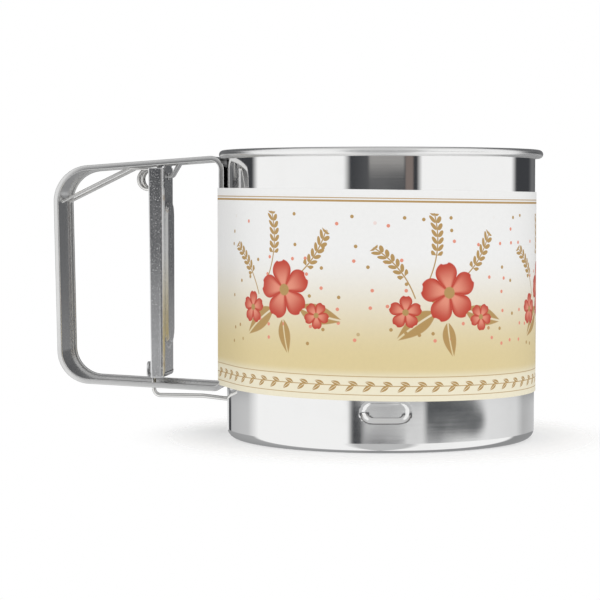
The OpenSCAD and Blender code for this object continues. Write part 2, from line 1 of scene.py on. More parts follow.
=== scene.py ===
"""Sugar sifter: finished pieces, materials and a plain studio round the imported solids."""
import json
import math
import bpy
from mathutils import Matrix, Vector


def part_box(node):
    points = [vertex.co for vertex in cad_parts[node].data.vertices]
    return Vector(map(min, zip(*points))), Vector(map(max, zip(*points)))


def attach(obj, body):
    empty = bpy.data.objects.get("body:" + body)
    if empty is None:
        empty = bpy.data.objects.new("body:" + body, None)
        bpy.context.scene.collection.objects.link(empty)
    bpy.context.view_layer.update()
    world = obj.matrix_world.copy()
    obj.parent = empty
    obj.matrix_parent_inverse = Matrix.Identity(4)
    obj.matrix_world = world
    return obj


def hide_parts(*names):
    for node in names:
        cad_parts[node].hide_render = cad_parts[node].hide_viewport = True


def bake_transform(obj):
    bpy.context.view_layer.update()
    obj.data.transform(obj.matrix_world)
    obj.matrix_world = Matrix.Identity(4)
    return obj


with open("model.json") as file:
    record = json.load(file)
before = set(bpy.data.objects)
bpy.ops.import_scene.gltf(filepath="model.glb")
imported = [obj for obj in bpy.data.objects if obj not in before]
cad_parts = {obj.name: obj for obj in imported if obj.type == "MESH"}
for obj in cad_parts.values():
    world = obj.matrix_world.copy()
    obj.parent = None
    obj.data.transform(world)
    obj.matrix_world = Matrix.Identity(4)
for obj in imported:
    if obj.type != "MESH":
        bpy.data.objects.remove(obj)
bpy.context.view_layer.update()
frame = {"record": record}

from types import SimpleNamespace

import bmesh
import bpy
from bpy.props import FloatProperty, FloatVectorProperty, IntProperty, PointerProperty
from bpy.types import Operator, Panel, PropertyGroup
from mathutils import Matrix, Vector

bl_info = {
    "name": "Sugar sifter",
    "version": (1, 0, 0),
    "blender": (4, 5, 0),
    "location": "3D View > Sidebar > Sifter",
    "description": "Builds the finished pieces of a squeeze-handle sugar sifter and its studio",
    "category": "Object",
}

MM = 0.001
HINGE_Z = frame["record"]["behaviour"]["joints"][0]["pos_m"][2] / MM
CUP_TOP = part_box("cup_body")[1][2] / MM


# Settings

def linear(r, g, b):
    """A colour given as it looks on screen, 0 to 255, in linear light."""
    return tuple((c / 255 / 12.92) if c < 11 else ((c / 255 + 0.055) / 1.055) ** 2.4 for c in (r, g, b))


def size(name, mm, text):
    return FloatProperty(name=name, description=text, default=mm * MM, min=0.0, unit="LENGTH", precision=5)


def angle(name, degrees, text):
    return FloatProperty(name=name, description=text, default=math.radians(degrees), subtype="ANGLE")


def tint(name, rgb, text):
    return FloatVectorProperty(
        name=name, description=text, default=linear(*rgb), size=3, min=0.0, max=1.0, subtype="COLOR")


class SifterCup(PropertyGroup):
    wall_r: size("Wall radius", 50, "Outside radius of the cup's wall")
    wall_t: size("Sheet", 0.5, "Thickness of the cup's sheet")
    height: size("Height", CUP_TOP, "Height of the rim's top")
    base_r: size("Bottom edge", 3, "Outside radius of the rounded bottom edge")
    lip_w: size("Bottom lip", 5.5, "Width of the bottom lip")
    rim_d: size("Rim bead", 2.7, "Diameter of the curled rim")
    rim_flare: size("Rim flare", 0.35, "How far the wall steps out under the rim")
    oval_l: size("Oval length", 14.7, "Length of a pressed oval")
    oval_h: size("Oval height", 6.5, "Height of a pressed oval")
    oval_depth: size("Oval depth", 0.9, "Depth of a pressed oval")
    oval_border: size("Oval border", 1.2, "Width of an oval's sloped border")
    oval_z: size("Oval level", 12.75, "Height of the ovals' middle")
    oval_turn: angle("Oval direction", -82, "Direction of the first oval, seen from above")
    oval_count: IntProperty(name="Ovals", description="How many ovals are pressed in", default=3, min=1)
    hole_r: size("Wire hole", 1.2, "Radius of the hole that the drive wire passes")
    hole_z: size("Wire hole level", 11.456, "Height of that hole")


class SifterSieve(PropertyGroup):
    band_r: size("Band radius", 49.25, "Outside radius of the sieve ring")
    sheet: size("Sheet", 0.6, "Thickness of the ring and the retainer")
    shelf_z: size("Shelf level", 3, "Underside of the ring's shelf")
    shelf_w: size("Shelf width", 6, "Width of the ring's shelf")
    band_h: size("Band height", 6.2, "Height of the ring's band")
    skirt_r: size("Skirt radius", 46.6, "Outside radius of the ring's skirt")
    wire_d: size("Mesh wire", 0.3, "Diameter of the mesh's wires")
    pitch: size("Mesh pitch", 1.45, "Spacing of the mesh's wires")
    mesh_r: size("Mesh radius", 48.4, "Radius of the mesh")
    rivet_d: size("Rivet", 4, "Diameter of the rivet's shank")
    head_d: size("Rivet head", 9, "Diameter of the rivet's head")
    head_h: size("Rivet head height", 1.6, "Height of the rivet's head")
    washer_d: size("Washers", 12, "Diameter of the washers")
    bar_w: size("Bar width", 12, "Width of the bar under the mesh")


class SifterAgitator(PropertyGroup):
    level: size("Level", 5.1, "Underside of the agitator's plate")
    sheet: size("Sheet", 0.8, "Thickness of the agitator")
    arm_w: size("Arm width", 7, "Width of an arm")
    tip_r: size("Tip radius", 43.65, "Reach of the arms")
    hub_d: size("Hub", 20, "Diameter of the hub")
    fin_h: size("Fin height", 2, "Height of the fin along each arm")
    hook_x: size("Hook X", 9.5516, "Rest place of the wire's hook along the handle's direction")
    hook_y: size("Hook Y", 17, "Sideways place of the wire's hook")
    slot_w: size("Slot width", 2.4, "Width of the slot that the hook moves in")
    arms: IntProperty(name="Arms", description="Number of arms", default=6, min=3)


class SifterHandle(PropertyGroup):
    leg_x: size("Leg distance", 50.05, "Distance of the legs' backs from the cup's axis")
    grip_x: size("Grip distance", 106.4, "Distance of the grip's outside from the cup's axis")
    top_z: size("Top arm", 91.6, "Height of the top arm at the cup")
    bottom_z: size("Bottom arm", 14.5, "Height of the bottom arm at the cup")
    leg_l: size("Leg length", 19, "Length of each leg")
    strip_w: size("Strip width", 20, "Width of the strip")
    strip_t: size("Strip sheet", 0.6, "Thickness of the strip")
    hem_d: size("Rolled edge", 1.7, "Height of the rolled edges")
    hem_w: size("Rolled edge width", 1.25, "Width of the rolled edges")
    hem_lean: angle("Rolled edge lean", 5, "How far the rolled edges stand outward")
    flat_inset: size("Flat inset", 0.1, "How far the flat lies inside the rolled edges")
    tongue_w: size("Tongue width", 5, "Width of the tongue and the stop flap")
    tongue_t: size("Tongue sheet", 0.8, "Thickness of the tongue")
    top_slope: angle("Top slope", 4.1, "Slope of the top arm")
    bottom_slope: angle("Bottom slope", 2.6, "Slope of the bottom arm")
    grip_lean: angle("Grip lean", 1.1, "Lean of the grip")


class SifterTrigger(PropertyGroup):
    web_x: size("Web distance", 70.3, "Distance of the web's outside from the cup's axis")
    width: size("Width", 15, "Width across the flanges")
    depth: size("Depth", 5.3, "Depth of the flanges at the top")
    taper: size("Taper", 0.8, "How much less deep the flanges are at the foot")
    sheet: size("Sheet", 0.7, "Thickness of the trigger")
    bend_r: size("Bends", 1.3, "Outside radius of the long bends")
    fold_r: size("Foot fold", 1.5, "Outside radius of the fold to the foot")
    foot_z: size("Foot level", 18.56, "Underside of the foot")
    top_z: size("Flange top", 87.523, "Top of the flanges")
    tab_z: size("Tab top", 89.123, "Top of the tab above the window")
    tab_w: size("Tab width", 9.6, "Width of that tab")
    window_w: size("Window width", 5.6, "Width of the hinge window")
    window_h: size("Window height", 2, "Height of the hinge window")
    pad_w: size("Pad width", 11.6, "Width of the finger pad")
    pad_h: size("Pad height", 0.8, "Height of the finger pad")
    pad_inset: size("Pad inset", 10, "Distance from the ends to the pad")
    foot_x: size("Foot distance", 77, "Distance of the foot's end from the cup's axis")
    foot_w: size("Foot width", 9.4, "Width of the foot")
    lug_h: size("Lug height", 5, "Height of the two lugs")
    lug_gap: size("Lug gap", 3.4, "Gap between the lugs")
    lug_r: size("Lug corners", 2.4, "Radius of the lugs' outer corners")


class SifterWires(PropertyGroup):
    spring_d: size("Spring wire", 1, "Diameter of the spring's wire")
    coil_d: size("Coils", 7.8, "Outside diameter of the coils")
    coil_pitch: size("Coil pitch", 1.5, "Spacing of the curls")
    spring_y: size("Spring legs", 5.2, "Sideways place of the spring's legs")
    wire_d: size("Drive wire", 1.4, "Diameter of the drive wire")
    wire_x: size("Wire distance", 75.5, "Distance of the wire's upright from the cup's axis")
    wire_z: size("Wire level", 12.256, "Height of the wire under the handle")
    wire_top_z: size("Wire top", 22.05, "Height of the wire's upper end")


class SifterSleeve(PropertyGroup):
    inner_r: size("Inner radius", 50.15, "Inner radius round the wall")
    card_t: size("Card", 0.3, "Thickness of the card")
    bottom_z: size("Lower edge", 16.2, "Height of the lower edge")
    top_z: size("Upper edge", 80.2, "Height of the upper edge")
    notch_w: size("Notch", 22, "Width of the notch for the handle's bottom arm")
    notch_z: size("Notch top", 17.4, "Height of that notch's top")
    lap: size("Lap", 12, "Length of the glued overlap")
    skew: angle("Skew", 0.75, "How far the sleeve stands askew on the cup")
    paper: tint("Paper", (247, 247, 246), "Upper part of the card")
    cream: tint("Cream", (229, 211, 160), "Lower part of the card")
    edge: tint("Edge band", (246, 238, 212), "Band along the lower edge")
    gold: tint("Gold", (186, 150, 92), "Rules and wheat")
    rust: tint("Rust", (196, 62, 44), "Petals")
    pink: tint("Pink", (236, 150, 126), "Petals' hearts")


class SifterStage(PropertyGroup):
    lens: FloatProperty(name="Lens", description="Focal length", default=122.66, min=10.0, unit="CAMERA")
    eye: FloatVectorProperty(
        name="Camera place", description="Place of the camera", default=(0.0697, -0.6634, 0.0772), size=3,
        subtype="TRANSLATION", unit="LENGTH")
    turn: angle("Camera turn", 8.25, "Direction of the camera, round from the front")
    tilt: angle("Camera tilt", 2.82, "How far the camera looks down")
    floor: tint("Floor", (246, 246, 246), "Colour of the floor")


def sizes(group):
    """The group's values, with lengths in millimetres."""
    values = {}
    for key, prop in group.bl_rna.properties.items():
        if key in ("rna_type", "name"):
            continue
        value = getattr(group, key)
        values[key] = value / MM if prop.type == "FLOAT" and prop.unit == "LENGTH" else value
    return SimpleNamespace(**values)


# Shapes, in millimetres

def smooth(t):
    t = min(max(t, 0.0), 1.0)
    return t * t * (3 - 2 * t)


def arc(x, y, r, start, end, steps):
    """Points of an arc, with angles in degrees."""
    turns = [math.radians(start + (end - start) * i / steps) for i in range(steps + 1)]
    return [(x + r * math.cos(a), y + r * math.sin(a)) for a in turns]


def circle(x, r, steps):
    return arc(x, 0, r, 0, 360 - 360 / steps, steps - 1)


def slot_line(start, end, width, steps):
    """A slot with round ends along X."""
    return arc(end, 0, width / 2, -90, 90, steps) + arc(start, 0, width / 2, 90, 270, steps)


def rounded(points, radius, closed=False, per_turn=32):
    """A line through the points, with an arc at each corner."""
    points = [Vector(p) for p in points]
    count = len(points)
    radii = radius if isinstance(radius, (list, tuple)) else [radius] * count
    line = []
    for i, p in enumerate(points):
        r = radii[i]
        if r <= 0 or (not closed and i in (0, count - 1)):
            line.append(p)
            continue
        back = (points[i - 1] - p).normalized()
        ahead = (points[(i + 1) % count] - p).normalized()
        corner = back.angle(ahead)
        bend = math.pi - corner
        centre = p + (back + ahead).normalized() * (r / math.sin(corner / 2))
        start = p + back * (r / math.tan(corner / 2)) - centre
        end = p + ahead * (r / math.tan(corner / 2)) - centre
        steps = max(2, math.ceil(bend / math.tau * per_turn))
        for k in range(steps + 1):
            t = k / steps
            spoke = start * math.sin((1 - t) * bend) + end * math.sin(t * bend)
            line.append(centre + spoke / math.sin(bend))
    return line


def stadium(x, y, length, height):
    """Distance from a point to the edge of an upright-ended oval, less than 0 inside."""
    span = (length - height) / 2
    return math.hypot(max(abs(x) - span, 0.0), y) - height / 2


def chain(bm, points, closed=False):
    """New vertices at the points, and gives back the edges between them."""
    verts = [bm.verts.new(p) for p in points]
    edges = [bm.edges.new(pair) for pair in zip(verts, verts[1:])]
    if closed:
        edges.append(bm.edges.new((verts[-1], verts[0])))
    return edges


def push(bm, edges, by):
    """Extrudes a row of edges and gives back the new row."""
    geom = bmesh.ops.extrude_edge_only(bm, edges=edges)["geom"]
    verts = [g for g in geom if isinstance(g, bmesh.types.BMVert)]
    bmesh.ops.translate(bm, verts=verts, vec=Vector(by))
    fresh = set(verts)
    return [g for g in geom if isinstance(g, bmesh.types.BMEdge) and all(v in fresh for v in g.verts)]


def drop(bm, test):
    """Deletes the faces whose middles pass the test."""
    faces = [f for f in bm.faces if test(f.calc_center_median())]
    bmesh.ops.delete(bm, geom=faces, context="FACES")


def tidy(bm):
    """Merges doubles, removes faces of no size and turns the others outward."""
    bmesh.ops.remove_doubles(bm, verts=bm.verts[:], dist=1e-4)
    bmesh.ops.dissolve_degenerate(bm, edges=bm.edges[:], dist=1e-5)
    bmesh.ops.recalc_face_normals(bm, faces=bm.faces[:])


def lathe(profile, steps, closed=True):
    """A profile of radius and height, turned round Z."""
    bm = bmesh.new()
    edges = chain(bm, [(p[0], 0, p[1]) for p in profile], closed)
    bmesh.ops.spin(
        bm, geom=bm.verts[:] + edges, cent=(0, 0, 0), axis=(0, 0, 1), angle=math.tau, steps=steps,
        use_merge=True)
    tidy(bm)
    return bm


def link(name, data):
    obj = bpy.data.objects.new(name, data)
    bpy.context.scene.collection.objects.link(obj)
    return obj


def from_object(obj):
    """The mesh of an object with its modifiers, and the object is gone."""
    bpy.context.view_layer.update()
    seen = obj.evaluated_get(bpy.context.evaluated_depsgraph_get())
    mesh = bpy.data.meshes.new_from_object(seen)
    bm = bmesh.new()
    bm.from_mesh(mesh)
    bpy.data.meshes.remove(mesh)
    bpy.data.objects.remove(obj)
    return bm


def to_object(bm, name="work"):
    mesh = bpy.data.meshes.new(name)
    bm.to_mesh(mesh)
    bm.free()
    return link(name, mesh)


def through(bm, *steps):
    """The shape after modifiers, each given by its type and settings."""
    obj = to_object(bm)
    for kind, settings in steps:
        modifier = obj.modifiers.new(kind, kind)
        for key, value in settings.items():
            setattr(modifier, key, value)
    return from_object(obj)


def bent_sheet(bm, thick, offset, edge, corner):
    """The surface with a thickness, its edges rounded where they are sharper than the corner's degrees."""
    sheet = {"thickness": thick, "offset": offset, "use_even_offset": True}
    rounding = {"width": edge, "segments": 2, "limit_method": "ANGLE", "angle_limit": math.radians(corner)}
    return through(bm, ("SOLIDIFY", sheet), ("BEVEL", rounding))


def cut_out(bm, *cutters):
    """The closed shape with the cutters' shapes taken out."""
    tools = [to_object(c, "cutter") for c in cutters]
    cut = {"operation": "DIFFERENCE", "solver": "EXACT"}
    bm = through(bm, *[("BOOLEAN", {"object": t, **cut}) for t in tools])
    for t in tools:
        bpy.data.objects.remove(t)
    return bm


def join(bm, other):
    """Adds the other shape, which is used up."""
    mesh = bpy.data.meshes.new("work")
    other.to_mesh(mesh)
    other.free()
    bm.from_mesh(mesh)
    bpy.data.meshes.remove(mesh)


def curve_object(paths, flat=False):
    """Straight-pieced lines: closed ones in the XY plane if flat, or else open ones in space."""
    curve = bpy.data.curves.new("work", "CURVE")
    curve.dimensions = "2D" if flat else "3D"
    for path in paths:
        spline = curve.splines.new("POLY")
        spline.points.add(len(path) - 1)
        spline.use_cyclic_u = flat
        for point, co in zip(spline.points, path):
            point.co = (co[0], co[1], 0 if flat else co[2], 1)
    return link("work", curve)


def plate(loops, thick, edge=0.0, z=0.0):
    """A flat plate with holes, its edges rounded, its middle at the level z."""
    obj = curve_object(loops, flat=True)
    obj.data.fill_mode = "BOTH"
    obj.data.extrude = thick / 2 - edge
    obj.data.bevel_depth = edge
    obj.data.bevel_resolution = 1
    obj.data.offset = -edge
    bm = from_object(obj)
    tidy(bm)
    bmesh.ops.translate(bm, verts=bm.verts[:], vec=(0, 0, z))
    return bm


def tubes(paths, d, sides):
    """Round wires along the paths, with closed ends."""
    obj = curve_object(paths)
    obj.data.bevel_depth = d / 2
    obj.data.bevel_resolution = (sides - 4) // 2
    obj.data.use_fill_caps = True
    bm = from_object(obj)
    tidy(bm)
    return bm


def ribbon(points, radii, width, across=1):
    """A bent strip of no thickness in the XZ plane, centred on Y."""
    bm = bmesh.new()
    edges = chain(bm, [(p[0], -width / 2, p[1]) for p in rounded(points, radii, per_turn=48)])
    for _ in range(across):
        edges = push(bm, edges, (0, width / across, 0))
    return bm


def finish_piece(name, bm, body, material, node, crease=35):
    """Turns the shape into a piece of the object: in metres, on its body, in place of its node."""
    bmesh.ops.scale(bm, vec=(MM, MM, MM), verts=bm.verts[:])
    obj = to_object(bm, name)
    obj.data.name = name
    obj.data.shade_smooth()
    obj.data.set_sharp_from_angle(angle=math.radians(crease))
    obj.data.materials.clear()
    obj.data.materials.append(material)
    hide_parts(node)
    if body:
        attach(obj, body)
    return obj


def second_side(obj, material, sides):
    """Gives the faces marked 1 another material."""
    obj.data.materials.append(material)
    obj.data.polygons.foreach_set("material_index", sides)


# Material nodes

class Value:
    """An output of a node, for plain arithmetic."""

    def __init__(self, net, socket):
        self.net = net
        self.socket = socket

    def __add__(self, other):
        return self.net.do("ADD", self, other)

    def __sub__(self, other):
        return self.net.do("SUBTRACT", self, other)

    def __rsub__(self, other):
        return self.net.do("SUBTRACT", other, self)

    def __mul__(self, other):
        return self.net.do("MULTIPLY", self, other)

    def __truediv__(self, other):
        return self.net.do("DIVIDE", self, other)

    def __mod__(self, other):
        return self.net.do("FLOORED_MODULO", self, other)

    def __pow__(self, other):
        return self.net.do("POWER", self, other)

    def __abs__(self):
        return self.net.do("ABSOLUTE", self)


class Net:
    """Short hand for wiring one node tree."""

    def __init__(self, tree):
        self.tree = tree

    def feed(self, socket, value):
        if isinstance(value, Value):
            self.tree.links.new(value.socket, socket)
        else:
            socket.default_value = value

    def add(self, kind, inputs=None, **settings):
        """A new node with its inputs fed, as its outputs by number and by name."""
        node = self.tree.nodes.new(kind)
        for key, value in settings.items():
            setattr(node, key, value)
        for key, value in (inputs or {}).items():
            self.feed(node.inputs[key], value)
        outputs = {}
        for i, socket in enumerate(node.outputs):
            outputs[i] = outputs[socket.name] = Value(self, socket)
        return outputs

    def do(self, operation, *values):
        return self.add("ShaderNodeMath", dict(enumerate(values)), operation=operation)[0]

    def split(self, vector):
        parts = self.add("ShaderNodeSeparateXYZ", {0: vector})
        return parts[0], parts[1], parts[2]

    def joined(self, x, y):
        return self.add("ShaderNodeCombineXYZ", {0: x, 1: y})[0]

    def place(self):
        return self.add("ShaderNodeTexCoord")["Object"]

    def ramp(self, value, low, high):
        """0 below low and 1 above high, smoothly."""
        return self.add("ShaderNodeMapRange", {"Value": value, "From Min": low, "From Max": high},
                        interpolation_type="SMOOTHSTEP")["Result"]

    def inside(self, distance, soft):
        """1 where the distance is less than 0."""
        return 1.0 - self.ramp(distance, -soft, soft)

    def mix(self, factor, a, b, **settings):
        return self.add("ShaderNodeMix", {0: factor, 6: a, 7: b}, data_type="RGBA", **settings)[2]

    def noise(self, vector, scale, detail, rough=0.5):
        return self.add(
            "ShaderNodeTexNoise", {"Vector": vector, "Scale": scale, "Detail": detail, "Roughness": rough})[0]

    def group(self, group, **inputs):
        return self.add("ShaderNodeGroup", inputs, node_tree=group)

    def relief(self, shader, height, strength, distance):
        bump = self.add("ShaderNodeBump", {"Strength": strength, "Distance": distance, "Height": height})
        self.feed(shader["Normal"], bump["Normal"])


def new_group(name, vectors, values, masks):
    """An empty shader node group with its net, what it is given and what it puts out."""
    group = bpy.data.node_groups.new(name, "ShaderNodeTree")
    sockets = ((vectors, "INPUT", "Vector"), (values, "INPUT", "Float"), (masks, "OUTPUT", "Float"))
    for keys, way, kind in sockets:
        for key in keys:
            group.interface.new_socket(key, in_out=way, socket_type="NodeSocket" + kind)
    net = Net(group)
    return group, net, net.add("NodeGroupInput"), group.nodes.new("NodeGroupOutput").inputs


def new_material(name):
    material = bpy.data.materials.new(name)
    material.use_nodes = True
    return material, Net(material.node_tree), material.node_tree.nodes["Principled BSDF"].inputs


def polishing_group():
    """Fine polishing lines along a direction, and broad handling marks."""
    if "Polishing" in bpy.data.node_groups:
        return bpy.data.node_groups["Polishing"]
    group, net, given, out = new_group("Polishing", ["Vector", "Grain"], ["Marks"], ["Lines", "Smudge"])
    grain = {0: given["Vector"], 1: given["Grain"]}
    stretched = net.add("ShaderNodeVectorMath", grain, operation="MULTIPLY")[0]
    net.feed(out["Lines"], net.noise(stretched, 1.0, 4.0, 0.65))
    smudge = net.noise(given["Vector"], 55.0, 3.0, 0.55)
    net.feed(out["Smudge"], net.ramp(smudge, 0.45, 0.75) * given["Marks"])
    return group


# Each steel's bright and smudged colour, roughness, polishing lines per metre along X, Y and Z, their relief,
# and how rough its specks are.
STEELS = {
    "polished_cup_steel": ((0.87, 0.87, 0.865), (0.81, 0.81, 0.8), 0.05, (18, 18, 1400), 0.004, 0),
    "satin_inside_steel": ((0.82, 0.82, 0.815), (0.75, 0.75, 0.74), 0.34, (18, 18, 900), 0.03, 0),
    "polished_strip_steel": ((0.72, 0.72, 0.715), (0.62, 0.62, 0.615), 0.17, (25, 1300, 25), 0.04, 0),
    "satin_lever_steel": ((0.715, 0.717, 0.722), (0.585, 0.587, 0.592), 0.13, (700, 700, 40), 0.03, 0.4),
    "satin_ring_steel": ((0.74, 0.74, 0.73), (0.64, 0.64, 0.63), 0.28, (700, 700, 700), 0.15, 0),
    "mesh_wire": ((0.72, 0.72, 0.71), (0.6, 0.6, 0.59), 0.3, (900, 900, 900), 0.1, 0),
    "bright_wire": ((0.84, 0.835, 0.82), (0.73, 0.72, 0.7), 0.06, (500, 500, 500), 0.04, 0),
}


def steel(name, rim=None):
    """Sheet or wire metal with polishing lines along its grain, duller above a rim's level."""
    if name in bpy.data.materials:
        return bpy.data.materials[name]
    bright, smudged, roughness, grain, relief, specks = STEELS[name]
    material, net, shader = new_material(name)
    place = net.place()
    polish = net.group(polishing_group(), Vector=place, Grain=grain, Marks=0.5)
    net.feed(shader["Metallic"], 1.0)
    net.feed(shader["Base Color"], net.mix(polish["Smudge"], (*bright, 1), (*smudged, 1)))
    rough = polish["Lines"] * roughness + roughness / 2 + polish["Smudge"] * 0.06
    if specks:
        rough += net.ramp(net.noise(place, 2400.0, 2.0), 0.6, 0.68) * specks
    if rim:
        rough += net.ramp(net.split(place)[2], rim, rim + 0.0004) * 0.19
    net.feed(shader["Roughness"], rough)
    net.relief(shader, polish["Lines"], relief, 0.00005)
    return material


# Pieces

class SIFTER_OT_cup(Operator):
    """Cup with curled rim, rounded bottom edge, pressed ovals and wire hole"""
    bl_idname = "sifter.cup"
    bl_label = "Cup"

    def profile(self, s):
        """The sheet's two sides, each from the bottom lip to the end of the rim's curl."""
        inner_r = s.wall_r - s.wall_t
        bead_r = s.rim_d / 2
        bead = (inner_r + s.rim_flare + bead_r, s.height - bead_r)
        oval_rows, row_h = 23, 0.34
        fine = [s.oval_z + (i - oval_rows // 2) * row_h for i in range(oval_rows)]
        under_rim = [bead[1] - 1.35, bead[1] - 1.1]
        levels = [s.base_r + 0.15, 5, 7] + fine + [18, 24, 40, 60, 78, 87] + under_rim
        corner_steps, curl_steps, curl_end = 10, 20, -140

        def side(r, lip_z, corner_r, curl_r):
            corner = arc(s.wall_r - s.base_r, s.base_r, corner_r, -90, 0, corner_steps)
            curl = arc(*bead, curl_r, 180, curl_end, curl_steps)
            return [(s.wall_r - s.lip_w, lip_z)] + corner + [(r, z) for z in levels] + curl
        outside = side(s.wall_r, 0, s.base_r, bead_r - s.wall_t)
        inside = side(inner_r, s.wall_t, s.base_r - s.wall_t, bead_r)
        return outside + inside[::-1]

    def press_ovals(self, bm, s):
        for v in bm.verts:
            r = math.hypot(v.co.x, v.co.y)
            if r < s.wall_r - s.wall_t - 0.1 or abs(v.co.z - s.oval_z) > s.oval_h / 2:
                continue
            for i in range(s.oval_count):
                turn = math.atan2(v.co.y, v.co.x) - s.oval_turn - math.tau * i / s.oval_count
                along = ((turn + math.pi) % math.tau - math.pi) * s.wall_r
                edge = stadium(along, v.co.z - s.oval_z, s.oval_l, s.oval_h)
                v.co.xy *= 1 - s.oval_depth * smooth(-edge / s.oval_border) / r

    def open_hole(self, bm, s):
        def off(co):
            return math.hypot(co.y, co.z - s.hole_z)
        drop(bm, lambda c: c.x < -s.wall_r + 2 and off(c) < s.hole_r * 0.9)
        rim = [e for e in bm.edges if e.is_boundary]
        for v in dict.fromkeys(v for e in rim for v in e.verts):
            r = math.hypot(v.co.x, v.co.y)
            grow = s.hole_r / off(v.co)
            v.co.y *= grow
            v.co.z = s.hole_z + (v.co.z - s.hole_z) * grow
            v.co.x = -math.sqrt(r * r - v.co.y ** 2)
        bmesh.ops.bridge_loops(bm, edges=rim)

    def execute(self, context):
        s = sizes(context.scene.sifter_cup)
        steps_round = 480
        bm = lathe(self.profile(s), steps_round)
        self.press_ovals(bm, s)
        self.open_hole(bm, s)
        bm.normal_update()
        inside = [f.normal.dot(f.calc_center_median()) < 0 for f in bm.faces]
        outer = steel("polished_cup_steel", (s.height - s.rim_d) * MM)
        obj = finish_piece("cup_shell", bm, "cup", outer, "cup_body")
        second_side(obj, steel("satin_inside_steel"), inside)
        return {"FINISHED"}


class SIFTER_OT_sieve(Operator):
    """Sieve ring, woven mesh, retainer, bar, washers and pivot rivet"""
    bl_idname = "sifter.sieve"
    bl_label = "Sieve"

    def pressed(self, s):
        """The ring across: shelf, skirt and band."""
        foot_z = 0.5
        top, high = s.shelf_z + s.sheet, s.shelf_z + s.band_h
        shelf_r, skirt_in, band_in = s.band_r - s.shelf_w, s.skirt_r - s.sheet, s.band_r - s.sheet
        outline = [
            (shelf_r, s.shelf_z), (skirt_in, s.shelf_z), (skirt_in, foot_z), (s.skirt_r, foot_z),
            (s.skirt_r, s.shelf_z), (s.band_r, s.shelf_z), (s.band_r, high), (band_in, high), (band_in, top),
            (shelf_r, top)]
        corners = [0.25, 0.2, 0.25, 0.25, 0.2, 0.9, 0.28, 0.28, 0.4, 0.25]
        return lathe(rounded(outline, corners, closed=True, per_turn=24), 288)

    def woven(self, s, z):
        """Wires over and under each other, both ways across the disc."""
        half = int(s.mesh_r / s.pitch)
        hole = s.rivet_d / 2 + 0.1
        paths = []
        for way in (0, 1):
            for i in range(-half, half):
                side = (i + 0.5) * s.pitch
                path = []
                for j in range(-half, half):
                    along = (j + 0.5) * s.pitch
                    r = math.hypot(side, along)
                    if r > s.mesh_r - s.wire_d or r < hole + s.wire_d / 2:
                        paths.append(path)
                        path = []
                        continue
                    lift = (1 if (i + j + way) % 2 else -1) * s.wire_d / 2
                    path.append((along, side, z + lift) if way else (side, along, z + lift))
                paths.append(path)
        return tubes([path for path in paths if len(path) > 1], s.wire_d, 4)

    def ring(self, inner, outer, low, high, edge):
        outline = [(inner, low), (outer, low), (outer, high), (inner, high)]
        return lathe(rounded(outline, edge, closed=True), 192)

    def bar(self, s, bore):
        thick = 1.0
        half = s.skirt_r - s.sheet - 0.3
        lean = math.degrees(math.asin(s.bar_w / 2 / half))
        outline = arc(0, 0, half, 90 - lean, 90 + lean, 8) + arc(0, 0, half, 270 - lean, 270 + lean, 8)
        return plate([outline, circle(0, bore, 24)], thick, 0.15, s.shelf_z - thick / 2)

    def rivet(self, s):
        shank, head = s.rivet_d / 2, s.head_d / 2
        foot_r, foot_low, foot_top, head_z = shank + 1, 1.2, 2.0, 6.0
        dome = (head * head + s.head_h ** 2) / (2 * s.head_h)
        lean = math.degrees(math.asin(head / dome))
        foot = [(shank, foot_low), (foot_r, foot_low), (foot_r, foot_top), (shank, foot_top)]
        profile = [(0, foot_low)] + rounded(foot, 0.25) + [(shank, head_z), (head - 0.15, head_z)]
        return lathe(profile + arc(0, head_z + s.head_h - dome, dome, 90 - lean, 90, 12), 96, closed=False)

    def execute(self, context):
        s = sizes(context.scene.sifter_sieve)
        top = s.shelf_z + s.sheet
        mesh_top = top + 2 * s.wire_d
        bore, washer_r = s.rivet_d / 2 + 0.05, s.washer_d / 2
        retainer = self.ring(s.band_r - s.shelf_w + 1, s.mesh_r, mesh_top, mesh_top + s.sheet, 0.2)
        under = self.ring(bore, washer_r, s.shelf_z, top, 0.15)
        over = self.ring(bore, washer_r, mesh_top, mesh_top + 0.8, 0.2)
        satin = ("satin_steel", "satin_ring_steel", 35)
        woven = ("mesh_steel", "mesh_wire", 80)
        bright = ("polished_steel", "bright_wire", 35)
        for name, bm, (slot, metal, crease), node in (
                ("sieve_ring_pressed", self.pressed(s), satin, "sieve_ring"),
                ("sieve_mesh_woven", self.woven(s, top + s.wire_d), woven, "sieve_mesh"),
                ("mesh_retainer_ring", retainer, satin, "mesh_retainer"),
                ("washer_under_mesh", under, satin, "lower_washer"),
                ("washer_over_mesh", over, satin, "upper_washer"),
                ("support_bar_flat", self.bar(s, bore), satin, "support_bar"),
                ("pivot_rivet_domed", self.rivet(s), bright, "pivot_rivet")):
            finish_piece(name, bm, "cup", steel(metal), node, crease)
        return {"FINISHED"}


